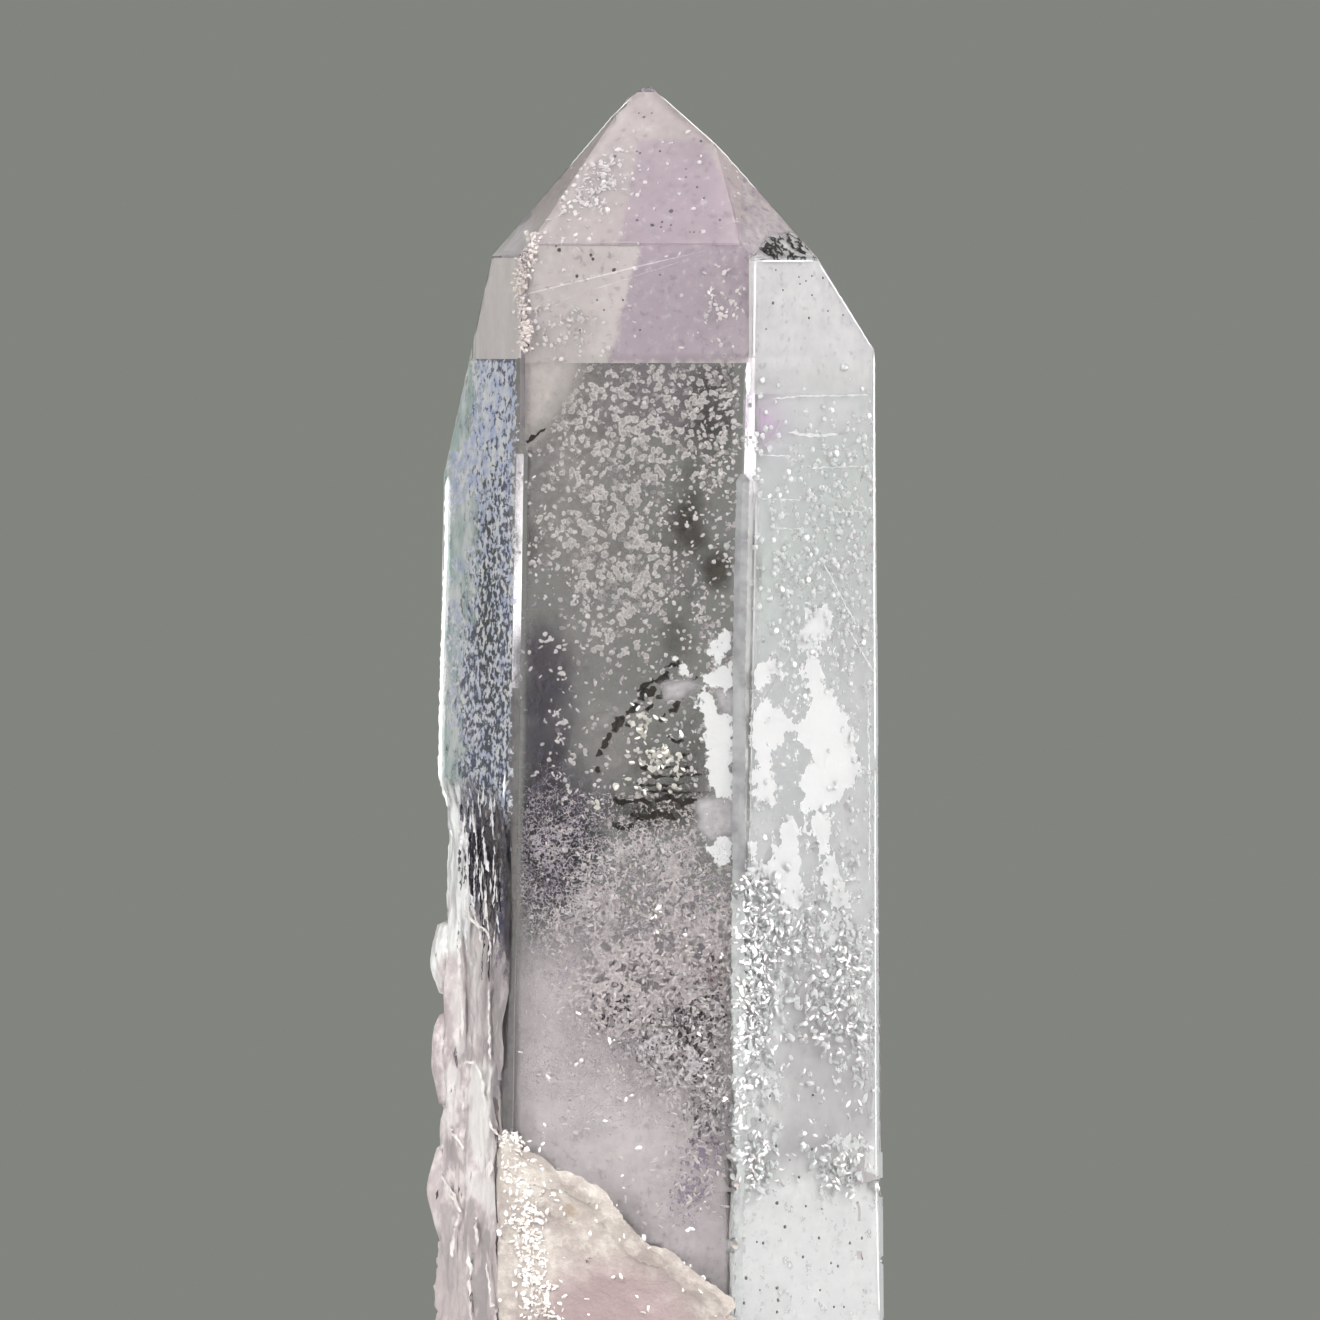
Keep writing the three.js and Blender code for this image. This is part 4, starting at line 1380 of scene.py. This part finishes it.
front_spots = ovals([(715, 420, 34, 60, 0.7), (700, 560, 36, 90, 0.5), (650, 760, 60, 60, 0.5),
                     (680, 1080, 50, 90, 0.4), (560, 700, 40, 100, 0.12), (590, 1060, 80, 90, 0.25)], 0.05)
sow("flakes_front", FLAKES, 1000, (526, 364, 738, 1230), (0.0003, 0.0030), front_spots, (3, 7), flake_look)
LONE_PUFFS = [(546, 638), (562, 648), (562, 674), (557, 712), (562, 724), (562, 740), (572, 758), (560, 776),
              (567, 795), (700, 613), (703, 618), (698, 620), (576, 600), (533, 560)]
lone = [behind_or_near(column + dice.normal() * 3, row + dice.normal() * 3, dice.uniform(0.0006, 0.0016))
        for column, row in LONE_PUFFS for _ in range(7)]
scatter("puffs_lone", FLAKES, lone, (3, 7), flake_look)
CRISP_FLAKES = [(655, 922), (657, 932), (580, 1008), (521, 1052), (699, 1033), (706, 1070), (713, 1083),
                (723, 1100), (661, 906), (612, 1040), (640, 1146), (598, 1204), (615, 1207), (622, 1180),
                (690, 1225), (700, 1210), (545, 1125), (540, 1148), (578, 1062), (604, 1118), (630, 1096),
                (548, 1082), (720, 955), (686, 938)]
crisp = [behind_or_near(column + dice.normal() * 2, row + dice.normal() * 4, dice.uniform(-0.00003, 0.00002))
         for column, row in CRISP_FLAKES for _ in range(2)]
scatter("flakes_crisp", BLOCKS, crisp, (3, 9), flake_look, True)

gold_spots = ovals([(645, 722, 8, 12, 0.8), (655, 757, 16, 10, 1.0), (635, 789, 12, 6, 0.7),
                    (595, 800, 5, 4, 1.0), (670, 770, 16, 20, 0.3), (648, 735, 30, 30, 0.08)])
sow("sparkles_gold", FLAKES, 90, (585, 690, 705, 810), (-0.00002, 0.0005), gold_spots, (4, 10), gold_look)

tip_spots = ovals([(604, 176, 10, 10, 1.0), (590, 195, 16, 16, 0.8), (575, 215, 14, 20, 0.3),
                   (618, 165, 16, 14, 0.3), (560, 240, 6, 8, 0.5), (720, 305, 16, 26, 0.35),
                   (570, 335, 40, 24, 0.3), (600, 200, 30, 30, 0.15)], 0.02)
sow("sparkles_tip", FLAKES, 420, (526, 130, 745, 360), (0.00008, 0.00035), tip_spots, (2.5, 7), flake_look)

right_spots = ovals([(815, 470, 50, 40, 0.5), (830, 540, 40, 60, 0.8), (790, 560, 30, 50, 0.5),
                     (850, 640, 20, 60, 0.7), (800, 640, 20, 20, 0.8), (770, 420, 16, 30, 0.2),
                     (860, 450, 14, 60, 0.5), (845, 850, 20, 80, 0.3)], 0.06)
sow("dots_right", DOTS, 600, (756, 366, 875, 900), (0.0001, 0.0007), right_spots, (4, 9), sparkle_look)
sow("dots_right_deep", DOTS, 170, (756, 400, 875, 1180), (0.0015, 0.0050), right_spots, (4, 9),
    sparkle_look)

rod_spots = ovals([(757, 950, 18, 90, 1.0), (745, 1020, 12, 60, 0.8), (795, 935, 26, 20, 0.6),
                   (838, 985, 22, 60, 0.5), (800, 1000, 14, 40, 0.2), (852, 960, 14, 30, 0.5),
                   (862, 1040, 10, 30, 0.6), (740, 1100, 10, 60, 0.6), (758, 1165, 14, 26, 0.8),
                   (838, 1168, 16, 18, 0.9)], 0.02)
sow("rods_right", BLOCKS, 1300, (734, 860, 875, 1210), (0.0001, 0.0009), rod_spots, (6, 15), sparkle_look)
sow("rods_near", RODS, 420, (734, 870, 873, 1205), (-0.00003, 0.00003), rod_spots, (4, 10),
    flake_look, shadow=True)
fibre_spots = ovals([(640, 900, 60, 40, 0.6), (690, 950, 40, 60, 0.6), (700, 1060, 30, 80, 0.9),
                     (640, 1010, 40, 50, 0.5), (720, 1110, 14, 50, 0.8), (690, 1170, 24, 26, 0.4)], 0.03)
sow("rods_front", RODS, 900, (540, 850, 736, 1230), (0.0001, 0.0010), fibre_spots, (4, 9), flake_look)

# %% [markdown]
# Dark specks dot the tip and the foot of the right side. Each is one small body just behind the
# surface. The dark wriggles beside the cap are threads on a sheet, because they run together.

# %% Dark specks
# Middle column and row of each speck, and its size in pixels.
TIP_SPECKS = [
    (639, 113, 3), (644, 117, 4), (652, 113, 3), (637, 151, 3), (640, 153, 4), (615, 156, 4), (660, 151, 4),
    (701, 141, 5), (686, 177, 3), (686, 169, 3), (697, 187, 4), (704, 198, 4), (671, 211, 7), (637, 220, 5),
    (652, 225, 6), (662, 222, 4), (661, 227, 4), (671, 225, 3), (690, 232, 3), (694, 232, 3), (700, 232, 3),
    (720, 220, 4), (559, 250, 6), (556, 246, 3), (591, 255, 5), (593, 259, 5), (614, 270, 6), (577, 276, 5),
    (528, 345, 5), (597, 300, 3), (604, 310, 3), (580, 330, 3), (623, 300, 3), (660, 275, 3), (640, 330, 3),
]
RIGHT_SPECKS = [
    (773, 303, 5), (809, 318, 4), (766, 329, 3), (799, 277, 3), (806, 281, 3), (812, 276, 3), (823, 278, 4),
    (800, 284, 3), (828, 311, 3), (843, 315, 3), (776, 270, 3), (783, 290, 3), (847, 300, 3), (812, 295, 3),
    (770, 1096, 4), (813, 1095, 5), (760, 1120, 5), (776, 1146, 5), (812, 1149, 5), (799, 1177, 5),
    (777, 1203, 6), (806, 1206, 4), (785, 1227, 6), (757, 1242, 4), (763, 1243, 5), (819, 1238, 5),
    (850, 1243, 5), (803, 1257, 5), (838, 1266, 5), (831, 1263, 4), (746, 1278, 6), (777, 1288, 6),
    (778, 1300, 6), (777, 1312, 5), (744, 1303, 5), (834, 1307, 4), (844, 1307, 4), (850, 1178, 4),
    (862, 1238, 5), (740, 1245, 4), (822, 1209, 3), (790, 1160, 3), (820, 1290, 4), (760, 1290, 3),
]


def specks(name, spots, depth, material):
    """A dark speck at each spot, one behind the surface."""
    seats = [behind_or_near(column, row, depth) for column, row, _ in spots]
    halves = [metres(across * 0.4) for _, _, across in spots]
    return copies(name, DOTS, seats, halves, material, dice)


specks("specks_tip", TIP_SPECKS, 0.00015, speck_look)
specks("specks_right", RIGHT_SPECKS, 0.00015, speck_look)
worm_film = thread_film("film_worms", (0.05, 0.045, 0.045, 1), (0.01, 0.01, 0.01, 1), 1500, 0.055, 0.95,
                        (1, 1, 1.3), 1.0)
WORM_PATCH = [(754, 259), (770, 237), (792, 234), (806, 244), (816, 260)]
sheet("worms_ground", (748, 230, 820, 261), 0.00035, 0.0, patches_of([WORM_PATCH], 6), pale_film, 9.0, cell=3,
      fade=0)
sheet("worms_dark", (748, 230, 820, 261), 0.00010, 0.0, patches_of([WORM_PATCH], 4), worm_film, 9.0, cell=3,
      fade=0)


# %% [markdown]
# The flank and the scar are not clear: they are frosted by thousands of tiny steps. A thin frosted
# skin is lifted off the rough faces of the body for them, and swollen into soft lumps.

# %% The frosted skins
SKIN_LIFT = 0.00002


def skin_of(name, wanted, swell, scale, material):
    """A thin layer over the faces of the body that pass a test, with soft lumps."""
    made = placed(name, body.data.copy())
    select_faces(made, lambda centre, normal: not wanted(centre, normal))
    edit(made)
    bpy.ops.mesh.delete(type="FACE")
    bpy.ops.mesh.select_all(action="SELECT")
    bpy.ops.transform.shrink_fatten(value=SKIN_LIFT)
    bpy.ops.mesh.faces_shade_smooth()
    done()
    lift = [vertex.normal.copy() for vertex in made.data.vertices]
    for vertex, way in zip(made.data.vertices, lift):
        spot = Vector((vertex.co.x, vertex.co.y, vertex.co.z * 0.5)) * scale
        vertex.co += way * swell * max(0, noise.fractal(spot, 0.7, 2.0, 3) + 0.35)
    made.data.materials.clear()
    made.data.materials.append(material)
    print(name, "faces:", len(made.data.polygons))
    return belongs(made)


# %% Frosted quartz
def frosted(frost, light, shade, dark, scale, stretch, opacity, zones=()):
    """Frosted quartz: light grains over a tone that varies, with a little see-through.

    Each zone is a mask from 0 to 1 and the colour that shows there.
    """
    grain = frost.noise(scale, 5.0, 0.65)
    soft = frost.noise(scale * 0.35, 3.0, 0.55, frost.stretched(stretch))
    tone = frost.blend(frost.spread(soft, 0.35, 0.65), dark, shade)
    grains = frost.blend(frost.spread(grain, 0.42, 0.70), tone, light)
    for mask, colour in zones:
        grains = frost.blend(mask, grains, colour)
    icy = frost.node("BsdfPrincipled", {
        "Base Color": grains,
        "Roughness": 0.4,
        "Normal": frost.bumps(grain, 0.6, 0.00018),
    })
    share = frost.times(frost.spread(grain, 0.25, 0.5, opacity, 1.0), frost.window)
    return frost.veil(share, icy)


# %% Parts of a pattern that are seen in one place
def side_of_line(recipe, first, last, softness):
    """1 to the right of a line that is seen through two pixels, going down, and 0 to its left."""
    start = Vector((across_at(first[0]), 0, height_at(first[1])))
    end = Vector((across_at(last[0]), 0, height_at(last[1])))
    way = (end - start).normalized()
    right = Vector((-way.z, 0, way.x))
    off = recipe.along(recipe.place, right)
    return recipe.spread(off, right.dot(start) - softness, right.dot(start) + softness)


def round_spot(recipe, column, row, inner, outer, strength=1.0):
    """1 near the line seen through a pixel, and 0 further off than some pixels."""
    flat = recipe.stretched((1, 0, 1))
    middle = (across_at(column), 0, height_at(row))
    off = recipe.node("VectorMath", {0: flat, 1: middle}, operation="DISTANCE").outputs["Value"]
    ragged = recipe.plus(off, recipe.times(recipe.noise(500.0), 0.0012))
    return recipe.spread(ragged, metres(inner), metres(outer), strength, 0.0)


def stripes(recipe, trails):
    """1 along straight lines seen through two pixels each, with a width in pixels and a strength."""
    flat = recipe.stretched((1, 0, 1))
    uneven = recipe.times(recipe.minus(recipe.noise(600.0), 0.5), 0.0016)
    found = 0.0
    for width, strength, first, last in trails:
        start = Vector((across_at(first[0]), 0, height_at(first[1])))
        end = Vector((across_at(last[0]), 0, height_at(last[1])))
        way = (end - start).normalized()
        from_start = recipe.node("VectorMath", {0: flat, 1: start}, operation="SUBTRACT").outputs[0]
        along = recipe.along(from_start, way)
        along = recipe.math("MINIMUM", recipe.math("MAXIMUM", along, 0.0), (end - start).length)
        nearest = recipe.node("VectorMath", {0: way, "Scale": along}, operation="SCALE").outputs[0]
        off = recipe.node("VectorMath", {0: from_start, 1: nearest}, operation="DISTANCE").outputs["Value"]
        half = metres(width / 2)
        mask = recipe.spread(recipe.plus(off, uneven), half * 0.6, half * 1.4, strength, 0.0)
        found = recipe.math("MAXIMUM", mask, found)
    return found


# %% The frost on the flank
frost = Recipe("frost_flank")
clear_part = frost.times(frost.spread(frost.leftward(), 0.60, 0.75),
                        side_of_line(frost, (457, 770), (468, 915), 0.0005))
clear_part = frost.times(clear_part, side_of_line(frost, (440, 850), (520, 1000), 0.0022))
blotches = frost.minus(frost.noise(900.0), 0.5)
wide_blotches = frost.minus(frost.noise(280.0), 0.5)
clear_part = frost.spread(frost.plus(clear_part, blotches), 0.4, 0.62)
slits = frost.noise(3000.0, 4.0, 0.62, frost.stretched((0.5, 0.5, 0.25)))
ragged_height = frost.plus(frost.height(), frost.times(blotches, 0.003))
ragged_height = frost.plus(ragged_height, frost.times(wide_blotches, 0.006))
top_share = frost.spread(ragged_height, 0.0326, 0.0348, 1.0, 0.0)
clear_share = frost.spread(slits, 0.56, 0.64, 0.85, 0.35)
frost.window = frost.times(top_share, frost.minus(1.0, frost.times(clear_part, clear_share)))
left_of_line = frost.minus(1.0, side_of_line(frost, (466, 780), (476, 960), 0.0008))
more_ragged = frost.plus(ragged_height, frost.times(wide_blotches, 0.012))
glassy = frost.times(frost.spread(more_ragged, 0.0240, 0.0290, 0.0, 0.95), left_of_line)
glassy_streaks = frost.spread(frost.noise(1300.0, 3.0, 0.6, frost.stretched((1.2, 1.2, 0.3))), 0.35, 0.62)
glassy_colour = frost.blend(glassy_streaks, (0.40, 0.40, 0.41, 1), (0.78, 0.80, 0.79, 1))
grey_part = frost.times(side_of_line(frost, (474, 915), (486, 1150), 0.0006),
                       frost.spread(ragged_height, 0.0170, 0.0200, 0.0, 0.8))
grey_colour = frost.blend(frost.spread(slits, 0.45, 0.6), (0.20, 0.175, 0.185, 1), (0.33, 0.30, 0.30, 1))
low_part = frost.spread(ragged_height, 0.0115, 0.0165, 0.6, 0.0)
DARK_STRIPES = [(6, 0.7, (463, 1058), (464, 1150)), (14, 0.8, (469, 1205), (475, 1300)),
                (12, 0.9, (485, 1240), (487, 1330)), (7, 0.6, (467, 965), (467, 1062)),
                (15, 0.9, (500, 1050), (504, 1122)), (9, 0.7, (450, 1148), (462, 1170)),
                (12, 0.5, (446, 1215), (450, 1290)), (7, 0.8, (478, 1140), (482, 1170))]
PALE_STRIPES = [(20, 0.9, (478, 1070), (480, 1160)), (16, 0.6, (450, 1080), (448, 1120)),
                (24, 0.6, (476, 1180), (492, 1200)), (12, 0.4, (455, 1000), (458, 1050))]
flank_frost = frosted(frost, (0.74, 0.67, 0.66, 1), (0.50, 0.435, 0.44, 1), (0.36, 0.295, 0.315, 1), 900.0,
                      (1.2, 1.2, 0.6), 0.9, [(grey_part, grey_colour), (glassy, glassy_colour),
                                             (low_part, (0.46, 0.395, 0.395, 1)),
                                             (stripes(frost, DARK_STRIPES), (0.30, 0.26, 0.27, 1)),
                                             (stripes(frost, PALE_STRIPES), (0.74, 0.71, 0.70, 1))])

# %% The frost in the scar
scar_recipe = Recipe("frost_scar")
scar_recipe.window = 1.0
scar_pink = round_spot(scar_recipe, 612, 1345, 70, 130, 0.9)
scar_rust = round_spot(scar_recipe, 572, 1208, 10, 24, 0.7)
scar_frost = frosted(scar_recipe, (0.60, 0.55, 0.50, 1), (0.46, 0.405, 0.37, 1), (0.38, 0.325, 0.305, 1),
                     1300.0, (1, 1, 1), 0.96,
                     [(scar_pink, (0.33, 0.245, 0.25, 1)), (scar_rust, (0.30, 0.20, 0.11, 1))])

# %% The skins and the rim of the scar
skin_of("flank_skin", on_flank, 0.00034, 450.0, flank_frost)
skin_of("scar_skin", in_scar, 0.00004, 500.0, scar_frost)
SCAR_RIM = [(499, 1143), (514, 1164), (540, 1177), (568, 1182), (597, 1197), (608, 1214), (626, 1236),
            (642, 1252), (667, 1259), (684, 1276), (722, 1303), (731, 1312)]
scar_rim = strips("scar_rim", [(20.0, SCAR_RIM)], -0.0001, scar_frost, jag=3.0, taper=0.6, rows=8)
scar_rim.visible_shadow = True

# %% [markdown]
# The scar and the crumbled edge are strewn with broken grains. They lie on the surface and catch
# the light directly, so they cast shadows, as most of what lies in the glass doesn't.

# %% Grains on the scar and on the crumbled edge
grain_look = film_material("scar_grain", (0.92, 0.89, 0.87, 1), (0.66, 0.60, 0.57, 1), 0.5)


def scar_density(column, row):
    """Thick along the scar's left side, and along its rim."""
    rim_row = 1140 + (column - 506) * 0.78
    left_side = math.exp(-((column - 515 - (row - 1150) * 0.16) / 14) ** 2)
    rim = math.exp(-((row - rim_row - 10) / 12) ** 2) * (0.04 + 0.4 * step(560 - column, 0, 40))
    return min(1, 0.02 + left_side + rim)


TRIES_ON_SURFACE = 40


def surface_places(count, area, density, wanted):
    """Places on the surface that are seen in an area of the picture and pass a test."""
    left, top, right, bottom = area
    found = []
    tries = 0
    while len(found) < count and tries < count * TRIES_ON_SURFACE:
        tries += 1
        column = dice.uniform(left, right)
        row = dice.uniform(top, bottom)
        seen = look_in(column, row)
        if seen is not None and dice.random() < density(column, row) and wanted(seen[0], seen[1]):
            found.append(seen[0])
    return found


places = surface_places(520, (492, 1130, 735, 1318), scar_density, in_scar)
scatter("scar_grains", FLAKES, places, (3, 10), grain_look, True)
CRUMBLED_EDGE = [(533, 240), (529, 258), (522, 275), (520, 290), (523, 310), (526, 330), (524, 346)]


def edge_density(column, row):
    """Thick along the crumbled edge."""
    nearest = min(math.hypot(column - edge_column, (row - edge_row) * 0.45)
                  for edge_column, edge_row in CRUMBLED_EDGE)
    return math.exp(-(nearest / 4.5) ** 2)


places = surface_places(300, (508, 232, 545, 352), edge_density, lambda spot, normal: True)
crumb_look = film_material("edge_crumb", (0.62, 0.55, 0.53, 1), (0.46, 0.40, 0.385, 1), 0.5)
scatter("edge_crumbs", GRAINS, places, (2, 5.5), crumb_look, True)

# %% [markdown]
# The back isn't in the picture. It goes on as the front and the right side do: a few thin torn veils
# and flakes in the middle, and milk that thickens towards the root.

# %% Veils behind the back
# The two wide sides at the back: their bearing, and the columns between which each is seen from there.
BACK_SIDES = {"back_right": (106, 560, 833), "back": (166, 564, 842)}
BACK_VEILS = [(690, 940, 60, 60, 0.42), (640, 1020, 30, 90, 0.40), (770, 880, 26, 90, 0.40),
              (740, 1040, 80, 50, 0.40), (640, 560, 22, 50, 0.34), (800, 620, 16, 70, 0.34)]
BACK_FLAKES = [(700, 960, 110, 120, 0.6), (640, 560, 60, 160, 0.3), (780, 700, 50, 200, 0.3)]


def root_milk_cover(column, row):
    """Milk that starts at an uneven height and thickens towards the root."""
    wave = 60 * noise.noise(Vector((column / 50, row / 90, 4.0)))
    return 0.9 * step(row + wave, 980, 1280)


back_veil = torn_film("film_back", (0.95, 0.93, 0.94, 1), (0.70, 0.66, 0.68, 1), 1900, 2.4, 0.10, 0.85)
for number, (side, (bearing, left, right)) in enumerate(BACK_SIDES.items()):
    sheet(f"milk_{side}", (left, 900, right, ROOT_ROW), 0.0012, 0.0005, root_milk_cover, low_film,
          20.0 + number, cell=8, bearing=bearing, fade=0)
    sheet(f"veil_{side}", (left, 420, right, 1150), 0.0009, 0.0004, ovals(BACK_VEILS), back_veil,
          24.0 + number, cell=8, bearing=bearing)
    sow(f"flakes_{side}", FLAKES, 260, (left, 420, right, 1480), (0.0003, 0.0025), ovals(BACK_FLAKES, 0.1),
        (4, 10), flake_look, bearing)


# %% [markdown]
# The light is a plain studio: soft lights above, in front, to both sides of the front and at the
# left, and flat shining panels and one dark card behind the crystal and at its right. Clear quartz
# shows what is behind it, bent to one side by each pair of faces, so these give each side its tone.

# %% The floor, the light and the backdrop
def paint(name, colour, roughness=0.6):
    """A plain painted surface."""
    made = Recipe(name)
    shader = made.node("BsdfDiffuse", {"Color": (*colour, 1), "Roughness": roughness})
    return made.surface(shader.outputs[0])


def glow(name, colour, strength, fade=None):
    """A surface that only shines. A fade gives the heights, from its middle, between which it starts."""
    made = Recipe(name)
    if fade:
        strength = made.spread(made.height(), fade[0], fade[1], 0.0, strength)
    shader = made.node("Emission", {"Color": (*colour, 1), "Strength": strength})
    return made.surface(shader.outputs[0])


FLOOR_DROP = 0.00015
FLOOR_RADIUS = 0.3
deselect()
bpy.ops.mesh.primitive_circle_add(
    vertices=96, radius=FLOOR_RADIUS, fill_type="NGON", location=(0, 0, -FLOOR_DROP))
floor = named("floor")
floor.data.materials.append(paint("pale_paper", (0.60, 0.59, 0.575), 1.0))


def panel(name, bearing, distance, width, bottom, top, colour, strength, fade=None):
    """A flat light or card that faces the crystal. The bearing is from +Y towards +X."""
    angle = math.radians(bearing)
    place = (math.sin(angle) * distance, math.cos(angle) * distance, (bottom + top) / 2)
    deselect()
    bpy.ops.mesh.primitive_plane_add(size=1, location=place)
    made = named(name)
    made.scale = (width, top - bottom, 1)
    made.rotation_euler = (math.radians(90), 0, -angle)
    bpy.ops.object.transform_apply(location=False, rotation=True, scale=True)
    made.data.materials.append(glow(name, colour, strength, fade) if strength else paint(name, colour))
    made.data.materials[0].cycles.emission_sampling = "NONE"
    made.visible_camera = False


panel("light_behind_left", -41.5, 0.45, 0.12, -0.03, 0.30, (0.93, 1.0, 0.96), 0.56)
panel("light_strip_left", -17.0, 0.45, 0.05, 0.0440, 0.0640, (1, 1, 1), 2.2, (-0.0090, -0.0020))
panel("light_strip_right", 20.0, 0.45, 0.05, 0.0305, 0.0455, (1, 1, 1), 1.9)
panel("card_dark", 52.7, 0.40, 0.085, -0.03, 0.30, (0.05, 0.055, 0.12), 0)
panel("light_right", 88.0, 0.45, 0.20, -0.06, 0.40, (1, 1, 1), 1.6)


def soft_light(name, place, target, width, height, power):
    """A large area light."""
    data = bpy.data.lights.new(name, "AREA")
    data.shape = "RECTANGLE"
    data.size = width
    data.size_y = height
    data.energy = power
    made = placed(name, data)
    made.location = place
    made.rotation_euler = (Vector(target) - Vector(place)).to_track_quat("-Z", "Y").to_euler()
    made.visible_camera = False


soft_light("light_top", (0.05, -0.1, 0.75), (0, 0, 0), 0.6, 0.6, 2.2)
soft_light("light_front", (0.10, -0.70, 0.16), (0, 0, 0.03), 0.3, 0.3, 2.0)
soft_light("light_front_right", (0.55, -0.45, 0.30), (0, 0, 0.03), 0.4, 0.4, 5.5)
soft_light("light_front_left", (-0.45, -0.35, 0.50), (0, 0, 0.03), 0.4, 0.4, 3.2)
soft_light("light_left", (-0.58, -0.40, 0.14), (0, 0, 0.03), 0.4, 0.4, 2.4)

world = bpy.data.worlds.new("backdrop")
world.use_nodes = True
world.node_tree.nodes["Background"].inputs["Color"].default_value = (0.224, 0.234, 0.212, 1)
world.node_tree.nodes["Background"].inputs["Strength"].default_value = 1.0
bpy.context.scene.world = world

scene = bpy.context.scene
scene.view_settings.view_transform = "Standard"
scene.view_settings.look = "None"
scene.cycles.max_bounces = 9
scene.cycles.transmission_bounces = 9
scene.cycles.glossy_bounces = 6
scene.cycles.diffuse_bounces = 2
scene.cycles.transparent_max_bounces = 16
scene.cycles.use_denoising = True
scene.cycles.adaptive_threshold = 0.05
scene.cycles.adaptive_min_samples = 16
scene.cycles.caustics_reflective = True
scene.cycles.caustics_refractive = True
